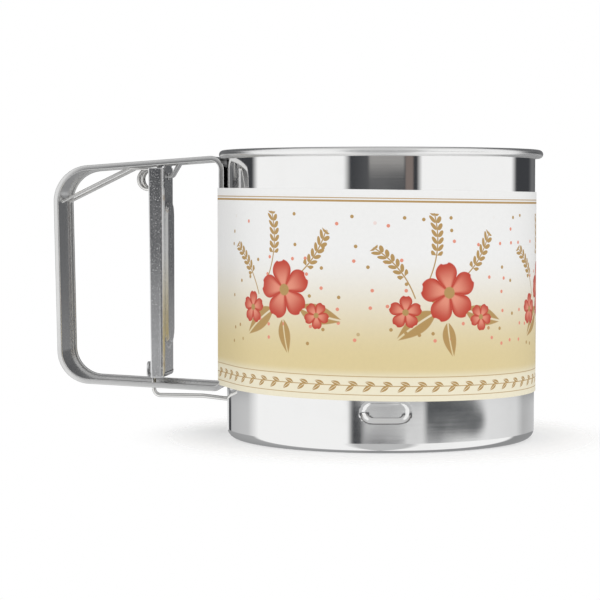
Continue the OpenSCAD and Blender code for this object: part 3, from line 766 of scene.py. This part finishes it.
class SIFTER_OT_agitator(Operator):
    """Star of arms with folded fins and the hook's slot"""
    bl_idname = "sifter.agitator"
    bl_label = "Agitator"

    def outline(self, s, first):
        points, radii = [], []
        half, hub = s.arm_w / 2, s.hub_d / 2
        root = math.sqrt(hub * hub - half * half)
        root_r, tip_r = 1.2, half - 0.05
        arm = [(root, -half), (s.tip_r, -half), (s.tip_r, half), (root, half)]
        for i in range(s.arms):
            turn = Matrix.Rotation(first + math.tau * i / s.arms, 2)
            between = Matrix.Rotation(first + math.tau * (i + 0.5) / s.arms, 2)
            points += [turn @ Vector(p) for p in arm] + [between @ Vector((hub, 0))]
            radii += [root_r, tip_r, tip_r, root_r, 0]
        return rounded(points, radii, closed=True)

    def fin(self, s, turn):
        """The fold that stands up along one side of an arm."""
        start, end = s.hub_d / 2 + 1, s.tip_r - s.arm_w / 2 - 1
        low, high = s.level + s.sheet / 2, s.level + s.sheet + s.fin_h
        side = s.arm_w / 2 - s.sheet / 2 - 0.15
        line = rounded([(start, low), (end, low), (end, high), (start, high)], [0, 0, 1.6, 1.6], closed=True)
        bm = plate([line], s.sheet, 0.15)
        stand = Matrix.Translation((0, side, 0)) @ Matrix.Rotation(math.pi / 2, 4, "X")
        bmesh.ops.transform(bm, matrix=Matrix.Rotation(turn, 4, "Z") @ stand, verts=bm.verts[:])
        return bm

    def execute(self, context):
        s = sizes(context.scene.sifter_agitator)
        first = math.atan2(s.hook_y, s.hook_x)
        turn = Matrix.Rotation(first, 2)
        slot = [turn @ Vector(p) for p in slot_line(s.hook_y, math.hypot(s.hook_x, s.hook_y), s.slot_w, 10)]
        bore = circle(0, sizes(context.scene.sifter_sieve).rivet_d / 2 + 0.06, 24)
        bm = plate([self.outline(s, first), slot, bore], s.sheet, 0.12, s.level + s.sheet / 2)
        for i in range(s.arms):
            join(bm, self.fin(s, first + math.tau * i / s.arms))
        finish_piece("agitator_star", bm, "agitator", steel("satin_ring_steel"), "agitator")
        return {"FINISHED"}


class SIFTER_OT_handle(Operator):
    """Bent strip with rolled edges, the tongue, the stop flap and the wire's slot"""
    bl_idname = "sifter.handle"
    bl_label = "Handle"

    def section(self, s):
        """The strip across, as sideways place and distance in from its outside."""
        flat = s.flat_inset + s.strip_t
        out = s.strip_w / 2
        root = out - s.hem_w
        lean = math.tan(s.hem_lean)
        corners = [
            (root - 0.3, s.flat_inset), (root, s.flat_inset), (root + 0.2, 0), (out, 0), (out, s.hem_d),
            (root, s.hem_d), (root, flat), (root - 0.5, flat)]
        radii = [0, 0.1, 0.1, 0.45, 0.32, 0.32, 0.15, 0]
        side = rounded([(y - (s.hem_d - n) * lean, n) for y, n in corners], radii, per_turn=40)
        return side + [(-y, n) for y, n in side[::-1]]

    def path(self, s):
        """The strip's outside from the end of the top leg to the end of the bottom leg."""
        legs = -s.leg_x
        middle = (s.top_z + s.bottom_z) / 2
        lean = math.tan(s.grip_lean)

        def at_grip(z, slope):
            x = (-s.grip_x + (middle - z) * lean + legs * slope * lean) / (1 + slope * lean)
            return Vector((x, z + (x - legs) * slope))
        return [
            Vector((legs, s.top_z - s.leg_l)), Vector((legs, s.top_z)),
            at_grip(s.top_z, math.tan(s.top_slope)), at_grip(s.bottom_z, -math.tan(s.bottom_slope)),
            Vector((legs, s.bottom_z)), Vector((legs, s.bottom_z + s.leg_l))]

    def strip(self, s):
        bm = bmesh.new()
        path = self.path(s)
        radii = [0, 4.4, 12, 11, 3.5, 0]
        steps_per_bend = 18
        last = len(path) - 1
        ring = chain(bm, [(path[0].x - n, y, path[0].y) for y, n in self.section(s)], closed=True)
        bmesh.ops.edgeloop_fill(bm, edges=ring)
        ahead = [(b - a).normalized() for a, b in zip(path, path[1:])]
        used = 0.0
        for i in range(1, last + 1):
            bend = ahead[i - 1].angle(ahead[i]) if i < last else 0.0
            trim = radii[i] * math.tan(bend / 2)
            step = ahead[i - 1] * ((path[i] - path[i - 1]).length - used - trim)
            ring = push(bm, ring, (step.x, 0, step.y))
            used = trim
            if i == last:
                break
            inward = Vector((-ahead[i - 1].y, ahead[i - 1].x))
            centre = path[i] - ahead[i - 1] * trim + inward * radii[i]
            turned = bmesh.ops.spin(
                bm, geom=ring + list(dict.fromkeys(v for e in ring for v in e.verts)),
                cent=(centre.x, 0, centre.y), axis=(0, -1, 0), angle=bend, steps=steps_per_bend)
            ring = [g for g in turned["geom_last"] if isinstance(g, bmesh.types.BMEdge)]
        bmesh.ops.edgeloop_fill(bm, edges=ring)
        tidy(bm)
        return bm

    def execute(self, context):
        scene = context.scene
        s, t, w = (sizes(group) for group in (scene.sifter_handle, scene.sifter_trigger, scene.sifter_wires))
        slide = 2 * sizes(scene.sifter_agitator).hook_x
        slope = math.tan(s.top_slope)
        inner_web = -t.web_x - t.sheet
        tongue_reach, flap_gap, tail = 4.4, 2.4, 1.5
        root_x, flap_x = -t.web_x + tongue_reach, inner_web - flap_gap
        sunk = (s.tongue_t - s.strip_t) / 2 + 0.05

        def arm(x):
            """Level of the top arm's sheet."""
            return s.top_z + (x + s.leg_x) * slope - s.flat_inset - s.strip_t / 2

        def on_arm(x):
            return (x, arm(x) - sunk)
        slot = plate([slot_line(-w.wire_x - slide, -w.wire_x, w.wire_d + 1, 16)], 8.0, z=s.bottom_z + 2)
        start, end, half = flap_x + 0.4, root_x - 1.36, s.tongue_w / 2 + 0.3
        window = rounded([(start, -half), (end, -half), (end, half), (start, half)], 0.5, True)
        bm = cut_out(self.strip(s), slot, plate([window], 1.9, z=arm(-t.web_x) + 0.25))
        tip_x, bend_x = inner_web - 0.7, -t.web_x + 1.2
        tongue = [(tip_x, HINGE_Z), (bend_x, HINGE_Z), on_arm(root_x), on_arm(root_x + tail)]
        flap = [(flap_x, t.top_z), on_arm(flap_x), on_arm(flap_x - tail)]
        for line, radii in ((tongue, [0, 1.0, 0.8, 0]), (flap, [0, 0.7, 0])):
            join(bm, bent_sheet(ribbon(line, radii, s.tongue_w), s.tongue_t, 0.0, 0.12, 50))
        tidy(bm)
        metal = steel("polished_strip_steel")
        finish_piece("handle_strip", bm, "cup", metal, "handle", crease=40)
        return {"FINISHED"}


class SIFTER_OT_trigger(Operator):
    """Squeeze lever: a sheet channel with finger pad, hinge window, foot and lugs"""
    bl_idname = "sifter.trigger"
    bl_label = "Trigger"

    def slice(self, bm, places, normal, end=math.inf):
        """Cuts rows into the faces that lie before the end along X."""
        for p in places:
            faces = [f for f in bm.faces if f.calc_center_median().x < end]
            edges = list(dict.fromkeys(e for f in faces for e in f.edges))
            verts = list(dict.fromkeys(v for f in faces for v in f.verts))
            bmesh.ops.bisect_plane(
                bm, geom=verts + edges + faces, dist=1e-4, plane_co=[p * n for n in normal], plane_no=normal)

    def channel(self, s):
        """Web, flanges and tab as one surface, with the window open and the pad raised."""
        web, free = -s.web_x, -s.web_x - s.depth
        half = s.width / 2
        bm = bmesh.new()
        line = rounded([(free, -half), (web, -half), (web, half), (free, half)], s.bend_r)
        fine, column_w, rows = [], 0.45, 100
        for a, b in zip(line, line[1:]):
            cuts = max(1, round((b - a).length / column_w))
            fine += [a.lerp(b, i / cuts) for i in range(cuts)]
        edges = chain(bm, [(p.x, p.y, s.foot_z) for p in fine + [line[-1]]])
        for _ in range(rows):
            edges = push(bm, edges, (0, 0, (s.tab_z - s.foot_z) / rows))
        tab, gap, low = s.tab_w / 2, s.window_w / 2, HINGE_Z - s.window_h / 2
        self.slice(bm, [s.top_z, low, low + s.window_h], (0, 0, 1))
        self.slice(bm, [-tab, tab, -gap, gap], (0, 1, 0))
        drop(bm, lambda c: c.z > s.top_z and abs(c.y) > tab)
        drop(bm, lambda c: low < c.z < low + s.window_h and abs(c.y) < gap and c.x > web - 0.5)
        pad_low, pad_high, pad_slope = s.foot_z + s.pad_inset, s.top_z - s.pad_inset, 1.1
        start = web - s.bend_r
        for v in bm.verts:
            if v.co.x > web - 0.01:
                edge = stadium(v.co.z - (pad_low + pad_high) / 2, v.co.y, pad_high - pad_low, s.pad_w)
                v.co.x += s.pad_h * smooth(-edge / pad_slope)
            if v.co.x < start:
                share = min(max((s.top_z - v.co.z) / (s.top_z - s.foot_z), 0), 1)
                v.co.x = start + (v.co.x - start) * (1 - share * s.taper / (s.depth - s.bend_r))
            reach = min(max(v.co.x - (web - s.fold_r), 0), s.fold_r)
            v.co.z = max(v.co.z, s.foot_z + s.fold_r - math.sqrt(s.fold_r ** 2 - reach ** 2))
        bmesh.ops.remove_doubles(bm, verts=bm.verts[:], dist=1e-3)
        bmesh.ops.dissolve_degenerate(bm, edges=bm.edges[:], dist=1e-4)
        return bm

    def foot(self, s):
        """The floor under the channel and the two lugs, as one surface."""
        web, end = -s.web_x, -s.foot_x
        floor_x = web - s.depth + s.taper
        top, lug_z = s.foot_z + s.lug_h, s.foot_z + 0.9
        half, gap = s.foot_w / 2, s.lug_gap / 2
        start, lug_bend_r = s.foot_z + s.fold_r + 0.4, 1.1
        line = [(web, start), (web, s.foot_z), (floor_x, s.foot_z), (end, s.foot_z), (end, top)]
        bm = ribbon(line, [0, s.fold_r, 0, lug_bend_r, 0], s.width - 2 * s.sheet, 8)
        self.slice(bm, [-half, half, -gap, gap], (0, 1, 0))
        rows = [top - s.lug_r * (1 - math.sin(math.radians(a))) for a in range(0, 90, 15)]
        self.slice(bm, [lug_z] + rows, (0, 0, 1), floor_x)
        drop(bm, lambda c: c.x < floor_x and abs(c.y) > half)
        drop(bm, lambda c: c.x < floor_x and c.z > lug_z and abs(c.y) < gap)
        for v in bm.verts:
            rise = v.co.z - (top - s.lug_r)
            if v.co.x < floor_x and rise > 0:
                keep = half - s.lug_r + math.sqrt(max(s.lug_r ** 2 - rise ** 2, 0)) - gap
                v.co.y = math.copysign(gap + (abs(v.co.y) - gap) * keep / (half - gap), v.co.y)
        return bm

    def execute(self, context):
        s = sizes(context.scene.sifter_trigger)
        w = sizes(context.scene.sifter_wires)
        shells = []
        for bm, out in ((self.channel(s), Vector((1, 0, 0))), (self.foot(s), Vector((0, 0, -1)))):
            bmesh.ops.recalc_face_normals(bm, faces=bm.faces[:])
            if sum(f.normal.dot(out) * f.calc_area() for f in bm.faces) < 0:
                bmesh.ops.reverse_faces(bm, faces=bm.faces[:])
            shells.append(bent_sheet(bm, s.sheet, -1.0, 0.1, 60))
        lever, foot = shells
        foot = cut_out(foot, plate([circle(-w.wire_x, w.wire_d / 2 + 0.5, 36)], 4.0, z=s.foot_z + 0.5))
        tidy(foot)
        join(lever, foot)
        metal = steel("satin_lever_steel")
        finish_piece("trigger_lever", lever, "trigger", metal, "trigger", crease=40)
        return {"FINISHED"}


class SIFTER_OT_spring(Operator):
    """Double torsion spring of one wire"""
    bl_idname = "sifter.spring"
    bl_label = "Return spring"

    def execute(self, context):
        s = sizes(context.scene.sifter_wires)
        t = sizes(context.scene.sifter_trigger)
        turns, per_turn = 2.25, 28
        r = (s.coil_d - s.spring_d) / 2
        web_in = -t.web_x - t.sheet
        strip_under = t.top_z + 1.9
        off_web, off_strip, grip_in, loop_l = 1.3, 1.75, -105.25, 16
        x, z = web_in - off_web - s.coil_d / 2, strip_under - s.coil_d / 2 - off_strip
        inner = s.spring_y - s.coil_pitch * turns
        bend = Vector((x - 6.2, -s.spring_y, z + r + 0.3))
        end = Vector((grip_in, -s.spring_y, z - 7.4))
        low = Vector((web_in - s.spring_d / 2 - 0.25, -inner, z - loop_l))
        coil = []
        for i in range(int(turns * per_turn) + 1):
            a = math.pi / 2 - i * math.tau / per_turn
            coil.append(Vector(
                (x + r * math.cos(a), -s.spring_y + s.coil_pitch * i / per_turn, z + r * math.sin(a))))
        half = rounded([end, bend, coil[0]], [0, 1.6, 0]) + coil[1:-1]
        half += rounded([coil[-1], coil[-1].lerp(low, 0.1), low], [0, 1.2, 0])
        loop_steps = 14
        loop = [
            low + Vector((0, inner * (1 - math.cos(a)), -inner * math.sin(a)))
            for a in (math.pi * i / loop_steps for i in range(1, loop_steps))]
        bm = tubes([half + loop + [Vector((p.x, -p.y, p.z)) for p in half[::-1]]], s.spring_d, 12)
        obj = finish_piece(
            "return_spring_wire", bm, None, steel("bright_wire"), "return_spring", crease=60)
        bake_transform(obj)
        return {"FINISHED"}


class SIFTER_OT_wire(Operator):
    """Drive wire from the trigger's foot to the agitator's slot"""
    bl_idname = "sifter.wire"
    bl_label = "Drive wire"

    def execute(self, context):
        scene = context.scene
        s, a, cup = (sizes(group) for group in (scene.sifter_wires, scene.sifter_agitator, scene.sifter_cup))
        over_fins = a.level + a.sheet + 0.1 + a.fin_h + s.wire_d
        step_start, step_end, turn_x, hook_end = -59.0, -51.6, -27.8, 4.8
        knots = [
            (-s.wire_x, 0, s.wire_top_z), (-s.wire_x, 0, s.wire_z), (step_start, 0, s.wire_z),
            (step_end, 0, cup.hole_z), (turn_x, 0, cup.hole_z), (a.hook_x, a.hook_y, over_fins),
            (a.hook_x, a.hook_y, hook_end)]
        bm = tubes([rounded(knots, [0, 2.2, 10, 8, 8, 1.4, 0], per_turn=48)], s.wire_d, 16)
        metal = steel("bright_wire")
        finish_piece("drive_wire_bent", bm, "wire", metal, "drive_wire", crease=60)
        return {"FINISHED"}


def flower_group():
    """A flower of five petals, one unit in radius, as masks."""
    group, net, given, out = new_group("Flower", ["Place"], [], ["Petal", "Heart", "Rib", "Eye"])
    x, y, _ = net.split(given["Place"])
    radius = net.do("SQRT", x * x + y * y)
    turn = net.do("ARCTAN2", y, x)
    lobe = abs(net.do("COSINE", turn * 2.5))
    reach = lobe ** 0.5 * 0.48 + 0.52
    notch = net.ramp(lobe, 0.93, 1.0) * 0.06
    ribs = abs(net.do("SINE", turn * 20.0))
    net.feed(out["Petal"], net.inside(radius - (reach - notch), 0.02))
    net.feed(out["Heart"], net.ramp(lobe, 0.1, 0.8) * net.ramp(radius, 1.0, 0.25))
    net.feed(out["Rib"], net.ramp(ribs, 0.25, 0.0) * net.ramp(radius, 0.85, 0.45))
    net.feed(out["Eye"], net.inside(radius - 0.19, 0.02))
    return group


def ear_group():
    """A bent ear of wheat on its stalk, in millimetres, as one mask."""
    group, net, given, out = new_group("Wheat ear", ["Place"], [], ["Ear"])
    x, y, _ = net.split(given["Place"])
    side = abs(x - y * y * 0.018)
    stalk = net.inside(side - 0.2, 0.07) * net.inside(abs(y) - 10.0, 0.1)
    dx = (side - 1.05) / 0.9
    dy = ((y - side * 0.75) % 2.1 - 1.05) / 0.84
    grain = net.inside(dx * dx + dy * dy - 1.0, 0.14)
    span = net.inside(abs(y - 3.6) - 6.3, 0.1)
    net.feed(out["Ear"], net.do("MAXIMUM", stalk, span * grain))
    return group


def leaf_group():
    """A pointed leaf along Y, one unit long, as one mask with a bare midrib."""
    group, net, given, out = new_group("Leaf", ["Place"], [], ["Leaf"])
    x, y, _ = net.split(given["Place"])
    share = net.do("MINIMUM", net.do("MAXIMUM", y, 0.0), 1.0)
    wide = net.do("SINE", share ** 0.8 * math.pi) * 0.2
    side = abs(x - share * share * 0.12)
    blade = net.inside(side - wide, 0.012) * net.ramp(wide, 0.0, 0.03)
    net.feed(out["Leaf"], blade * net.ramp(side, 0.012, 0.03))
    return group


def sleeve_card(s, length, height):
    """Coated card with a soft gradient, gold rules, a leaf border, posies and sprinkles."""
    material, net, shader = new_material("printed_sleeve_card")
    across, up, _ = net.split(net.add("ShaderNodeUVMap", uv_map="print")[0])
    u, v = across * length, up * height
    posies, shift = 6, 30.0
    period = (length - s.lap) / posies
    gold, rust, pink, paper, cream, edge = (
        (*c, 1) for c in (s.gold, s.rust, s.pink, s.paper, s.cream, s.edge))
    ear, leaf, flower = ear_group(), leaf_group(), flower_group()
    colour = net.mix(net.ramp(v, 12.0, 46.0), cream, paper)
    colour = net.mix(net.ramp(v, 10.0, 6.0), colour, edge)

    def stamp(group, cell, x, y, degrees, scale=1.0):
        """A motif's masks, moved and turned in its cell."""
        spot = net.add("ShaderNodeMapping", {
            "Vector": cell, "Location": (x, y, 0), "Rotation": (0, 0, math.radians(degrees)),
            "Scale": (scale, scale, scale)}, vector_type="TEXTURE")
        return net.group(group, Place=spot[0])

    def cells_along(width, start, level):
        return net.joined((u + start) % width - width / 2, level)

    border = cells_along(period / 10, 0.0, v)
    for x, degrees in ((-1.4, -62), (-0.2, -118)):
        colour = net.mix(stamp(leaf, border, x, 4.6, degrees, 3.4)["Leaf"], colour, gold)
    for level, thick in ((4.6, 0.12), (1.8, 0.1), (7.4, 0.1), (height - 2.6, 0.14), (height - 3.5, 0.3)):
        colour = net.mix(net.inside(abs(v - level) - thick, 0.08), colour, gold)

    cells = net.add("ShaderNodeTexVoronoi", {
        "Vector": net.joined(u, v), "Scale": 0.2, "Randomness": 0.8}, voronoi_dimensions="2D")
    there, which, _ = net.split(cells["Color"])
    sugar = net.inside(cells["Distance"] - 0.11, 0.015) * net.ramp(there, 0.45, 0.5)
    handle_side = net.do("COMPARE", net.do("FLOOR", (u + shift) / period), posies - 1.0, 0.1)
    field = net.inside(abs(v - 36.0) - 21.0, 0.1) * (1.0 - handle_side)
    colour = net.mix(sugar * field, colour, net.mix(net.ramp(which, 0.5, 0.52), gold, pink))

    out_of_sight = 500.0
    posy = cells_along(period, shift, handle_side * out_of_sight + v)
    for x, y, degrees in ((-12.5, 42.5, 38), (1.5, 47.0, 4), (13.5, 40.0, -40)):
        colour = net.mix(stamp(ear, posy, x, y, degrees)["Ear"], colour, gold)
    for x, y, degrees, scale in ((2, 27, -118, 15), (-8, 28, 112, 15), (-2, 24, 176, 11)):
        colour = net.mix(stamp(leaf, posy, x, y, degrees, scale)["Leaf"], colour, gold)
    for x, y, degrees, scale in ((11.5, 27.0, 20, 5.2), (-14.0, 25.5, 50, 4.3), (-2.5, 33.0, 8, 9.4)):
        parts = stamp(flower, posy, x, y, degrees, scale)
        petal = net.mix(net.do("MAXIMUM", parts["Heart"], parts["Rib"] * 0.5), rust, pink)
        colour = net.mix(parts["Petal"], colour, petal)
        colour = net.mix(parts["Eye"], colour, gold)

    fibre = net.noise(net.place(), 900.0, 4.0, 0.6)
    net.feed(shader["Base Color"], net.mix(1.0, colour, fibre * 0.06 + 0.97, blend_type="MULTIPLY"))
    net.feed(shader["Roughness"], fibre * 0.12 + 0.4)
    net.feed(shader["Specular IOR Level"], 0.4)
    net.relief(shader, fibre, 0.08, 0.0001)
    return material


def raw_card():
    """The card's bare back and cut edges."""
    material, net, shader = new_material("raw_card")
    fibre = net.noise(net.place(), 700.0, 4.0, 0.65)
    net.feed(shader["Base Color"], net.mix(fibre, (*linear(226, 222, 212), 1), (*linear(240, 237, 228), 1)))
    net.feed(shader["Roughness"], fibre * 0.15 + 0.7)
    return material


class SIFTER_OT_sleeve(Operator):
    """Printed card sleeve, laid over the handle's legs and glued at the back"""
    bl_idname = "sifter.sleeve"
    bl_label = "Paper sleeve"

    def line(self, s, h, wall_r):
        """The sleeve's outside seen from above, from its inner end to its outer end."""
        seam = 115
        r = s.inner_r + s.card_t
        glued = s.card_t + 0.04
        hem = h.hem_d / 2 + (s.inner_r - wall_r) + s.card_t
        at = Vector((-h.leg_x - h.hem_d / 2, h.strip_w / 2 - h.hem_d / 2))
        lean = math.degrees(math.atan2(at.y, -at.x) + math.acos((r - hem) / at.length))
        wall = math.radians(lean)
        leave = Vector((-r * math.cos(wall), r * math.sin(wall)))
        over = at + hem * Vector((-math.cos(wall), math.sin(wall)))
        mark = leave.lerp(over, (leave.y - s.notch_w / 2) / (leave.y - over.y))

        def curve(*values):
            return [Vector(p) for p in arc(*values)]
        bridge = [mark, over] + curve(at.x, at.y, hem, 180 - lean, 180, 4)[1:]
        near = curve(0, 0, r, seam, lean - 180, 190) + [Vector((p.x, -p.y)) for p in bridge]
        far = bridge[::-1] + curve(0, 0, r, 180 - lean, seam, 26)
        ease = far[-8:]
        for i, p in enumerate(ease):
            p *= 1 + glued * smooth((i + 1) / len(ease)) / r
        return near + far + curve(0, 0, r + glued, seam, seam - math.degrees(s.lap / r), 8)[1:]

    def execute(self, context):
        scene = context.scene
        s, h = sizes(scene.sifter_sleeve), sizes(scene.sifter_handle)
        line = self.line(s, h, sizes(scene.sifter_cup).wall_r)
        run = [0.0]
        for a, b in zip(line, line[1:]):
            run.append(run[-1] + (b - a).length)
        height = s.top_z - s.bottom_z
        bm = bmesh.new()
        edges = chain(bm, [(p.x, p.y, s.bottom_z) for p in line])

        def spot(co):
            return round(co.x, 4), round(co.y, 4)
        share = {spot(v.co): d / run[-1] for v, d in zip(bm.verts, run)}
        rows = 10
        levels = [s.bottom_z] + [s.notch_z + (s.top_z - s.notch_z) * i / rows for i in range(rows + 1)]
        for low, high in zip(levels, levels[1:]):
            edges = push(bm, edges, (0, 0, high - low))
        layer = bm.loops.layers.uv.new("print")
        for face in bm.faces:
            for loop in face.loops:
                co = loop.vert.co
                loop[layer].uv = (share[spot(co)], (co.z - s.bottom_z) / height)
        drop(bm, lambda c: c.z < s.notch_z and abs(c.y) < s.notch_w / 2 and c.x < 0)
        bm.normal_update()
        face = bm.faces[:][0]
        if face.normal.dot(face.calc_center_median() * Vector((1, 1, 0))) < 0:
            bmesh.ops.reverse_faces(bm, faces=bm.faces[:])
        for v in bm.verts:
            v.co.z -= v.co.x * math.tan(s.skew)
        bm = through(bm, ("SOLIDIFY", {
            "thickness": s.card_t, "offset": -1.0, "material_offset": 1, "material_offset_rim": 1}))
        sides = [f.material_index for f in bm.faces]
        card = sleeve_card(s, run[-1], height)
        obj = finish_piece("paper_sleeve_card", bm, "cup", card, "paper_sleeve", crease=30)
        second_side(obj, raw_card(), sides)
        return {"FINISHED"}


# Stage

class SIFTER_OT_stage(Operator):
    """Pale floor, soft studio surroundings and the camera"""
    bl_idname = "sifter.stage"
    bl_label = "Stage"

    def surroundings(self, s):
        """White for the camera, panels and gaps for polished metal, a soft dome for the rest."""
        world = bpy.data.worlds.new("studio")
        bpy.context.scene.world = world
        world.use_nodes = True
        net = Net(world.node_tree)
        x, y, z = net.split(net.add("ShaderNodeTexCoord")["Generated"])
        share = net.do("FRACT", (net.do("ARCTAN2", x, y * -1.0) - s.turn) * (1 / math.tau) + 0.5)

        def spot(degrees):
            """A direction round about, counted from the camera's, as a share of the whole turn."""
            return degrees / 360 + 0.5

        def panels(*stops):
            """A tier of panels, each with its direction and level of light."""
            tier = net.add("ShaderNodeValToRGB", {0: share})[0]
            marks = tier.socket.node.color_ramp.elements
            for i, (degrees, level) in enumerate(stops):
                mark = marks[i] if i < 2 else marks.new(spot(degrees))
                mark.position = spot(degrees)
                mark.color = (level, min(level + 0.002, 1), min(level + 0.007, 1), 1)
            return tier

        def between(start, full, end, none):
            return net.ramp(share, spot(start), spot(full)) * net.ramp(share, spot(none), spot(end))

        def blot(degrees, wide, level, tall):
            """A soft oval patch."""
            across = (share - spot(degrees)) * (360 / wide)
            up = (z - level) / tall
            return net.ramp(across * across + up * up, 1.2, 0.75)
        under = panels(
            (-180, 0.3), (180, 0.3), (-112, 0.4), (-105, 1.0), (-29, 1.0), (-20, 0.55), (20, 0.55), (28, 1.0),
            (110, 1.0), (117, 0.3))
        lower = panels(
            (-180, 0.8), (180, 0.6), (-162, 0.8), (-160, 0.04), (-153, 0.04), (-151, 0.5), (-118, 0.6),
            (-104, 1.0), (-26, 1.0), (-22, 0.06), (-17, 0.08), (-12, 0.6), (26, 0.78), (90, 0.8), (118, 0.75),
            (130, 0.5))
        middle = panels(
            (-180, 0.30), (180, 0.30), (-118, 0.4), (-104, 1.0), (-30, 1.0), (-24, 0.5), (-21.5, 0.44),
            (-19, 0.78), (-17, 1.0), (-14.3, 1.0), (-12.3, 0.12), (20, 0.15), (31, 0.07), (70, 0.10),
            (82, 0.75), (118, 0.6), (130, 0.3))
        upper = panels(
            (-180, 0.10), (180, 0.10), (-150, 0.16), (-140, 0.05), (-112, 0.05), (-105, 1.0), (-29, 1.0),
            (-24, 0.05), (-8, 0.10), (16, 0.08), (24, 0.04), (28, 1.0), (110, 1.0), (117, 0.05), (140, 0.05),
            (150, 0.16))
        high = panels(
            (-180, 0.12), (180, 0.12), (-125, 0.12), (-110, 0.9), (-32, 1.0), (-26, 0.62), (26, 0.62),
            (32, 1.0), (110, 0.9), (125, 0.12))
        gap = blot(42, 40, -0.107, 0.0125) * net.ramp(share, spot(28), spot(34))
        lower = net.mix(gap, lower, (0.08, 0.085, 0.09, 1))
        lower = net.mix(blot(1, 16, -0.1185, 0.0042), lower, (0.09, 0.09, 0.095, 1))
        lower = net.mix(blot(64, 22, -0.1195, 0.0042), lower, (1, 1, 1, 1))
        pane = between(-12, -9, 13.68, 16.2) * net.ramp(z, 0.0138, 0.0158)
        upper = net.mix(pane, upper, (0.38, 0.37, 0.36, 1))
        upper = net.mix(between(15.12, 16.56, 20.52, 22.32), upper, (0.22, 0.18, 0.165, 1))
        studio = under
        for low, full, tier in (
                (-0.14, -0.13, lower), (-0.1, -0.09, middle), (-0.06, -0.03, upper), (0.1, 0.25, high),
                (0.72, 0.92, (0.62, 0.62, 0.62, 1))):
            studio = net.mix(net.ramp(z, low, full), studio, tier)
        dome = net.mix(net.ramp(z, -0.3, 0.9), (0.77, 0.77, 0.77, 1), (1.0, 1.0, 1.0, 1))
        path = net.add("ShaderNodeLightPath")
        seen = net.mix(path["Is Glossy Ray"], dome, studio)
        plain = net.do("MAXIMUM", path["Is Camera Ray"], path["Is Transmission Ray"])
        back = world.node_tree.nodes["Background"].inputs
        net.feed(back["Color"], net.mix(plain, seen, (1, 1, 1, 1)))
        net.feed(back["Strength"], 1.0)

    def ground(self, s):
        """A pale disc that fades out round the sifter."""
        bm = bmesh.new()
        floor_r, fade_start, fade_end = 0.2, 0.05, 0.085
        bmesh.ops.create_circle(bm, cap_ends=True, segments=96, radius=floor_r)
        obj = to_object(bm, "floor")
        material, net, shader = new_material("pale_floor")
        place = net.place()
        far = net.add("ShaderNodeVectorMath", {0: place}, operation="LENGTH")["Value"]
        speck = net.noise(place, 400.0, 2.0)
        net.feed(shader["Base Color"], net.mix(speck, (*s.floor, 1), (*linear(250, 250, 250), 1)))
        net.feed(shader["Roughness"], 0.6)
        net.feed(shader["Alpha"], net.ramp(far, fade_end, fade_start) * 0.6)
        obj.data.materials.append(material)
        obj.visible_glossy = False

    def aimed(self, name, data, place, look):
        obj = link(name, data)
        obj.location = place
        obj.rotation_mode = "QUATERNION"
        obj.rotation_quaternion = look.to_track_quat("-Z", "Y")
        return obj

    def lamp(self, name, place, power):
        light = bpy.data.lights.new(name, "AREA")
        light.size = 0.5
        light.energy = power
        aim = Vector((0, 0, 0.05))
        obj = self.aimed(name, light, place, aim - Vector(place))
        obj.visible_glossy = False

    def eye(self, s):
        camera = bpy.data.cameras.new("camera")
        camera.sensor_width = 36
        camera.lens = s.lens
        flat = math.cos(s.tilt)
        look = Vector((-math.sin(s.turn) * flat, math.cos(s.turn) * flat, -math.sin(s.tilt)))
        bpy.context.scene.camera = self.aimed("camera", camera, s.eye, look)

    def execute(self, context):
        scene = context.scene
        scene.view_settings.view_transform = "Standard"
        s = scene.sifter_stage
        self.surroundings(s)
        self.ground(s)
        self.lamp("key", (-0.5, -0.7, 0.9), 1.6)
        self.lamp("fill", (0.8, -0.4, 0.6), 1.0)
        self.eye(s)
        return {"FINISHED"}


PIECES = [
    SIFTER_OT_cup, SIFTER_OT_sieve, SIFTER_OT_agitator, SIFTER_OT_handle, SIFTER_OT_trigger, SIFTER_OT_spring,
    SIFTER_OT_wire, SIFTER_OT_sleeve, SIFTER_OT_stage]
GROUPS = {
    "sifter_cup": SifterCup, "sifter_sieve": SifterSieve, "sifter_agitator": SifterAgitator,
    "sifter_handle": SifterHandle, "sifter_trigger": SifterTrigger, "sifter_wires": SifterWires,
    "sifter_sleeve": SifterSleeve, "sifter_stage": SifterStage}


class SIFTER_PT_panel(Panel):
    """The sifter's settings and the pieces to build"""
    bl_label = "Sugar sifter"
    bl_idname = "SIFTER_PT_panel"
    bl_space_type = "VIEW_3D"
    bl_region_type = "UI"
    bl_category = "Sifter"

    def draw(self, context):
        for piece in PIECES:
            self.layout.operator(piece.bl_idname)
        for key, kind in GROUPS.items():
            box = self.layout.box()
            box.label(text=key.replace("_", " ").capitalize())
            for prop in kind.__annotations__:
                box.prop(getattr(context.scene, key), prop)


def register():
    for kind in [*GROUPS.values(), *PIECES, SIFTER_PT_panel]:
        bpy.utils.register_class(kind)
    for key, kind in GROUPS.items():
        setattr(bpy.types.Scene, key, PointerProperty(type=kind))


def unregister():
    for key in GROUPS:
        delattr(bpy.types.Scene, key)
    for kind in [SIFTER_PT_panel, *PIECES[::-1], *list(GROUPS.values())[::-1]]:
        bpy.utils.unregister_class(kind)


def main():
    register()
    bpy.ops.sifter.cup()
    bpy.ops.sifter.sieve()
    bpy.ops.sifter.agitator()
    bpy.ops.sifter.handle()
    bpy.ops.sifter.trigger()
    bpy.ops.sifter.spring()
    bpy.ops.sifter.wire()
    bpy.ops.sifter.sleeve()
    bpy.ops.sifter.stage()


if __name__ == "__main__":
    main()
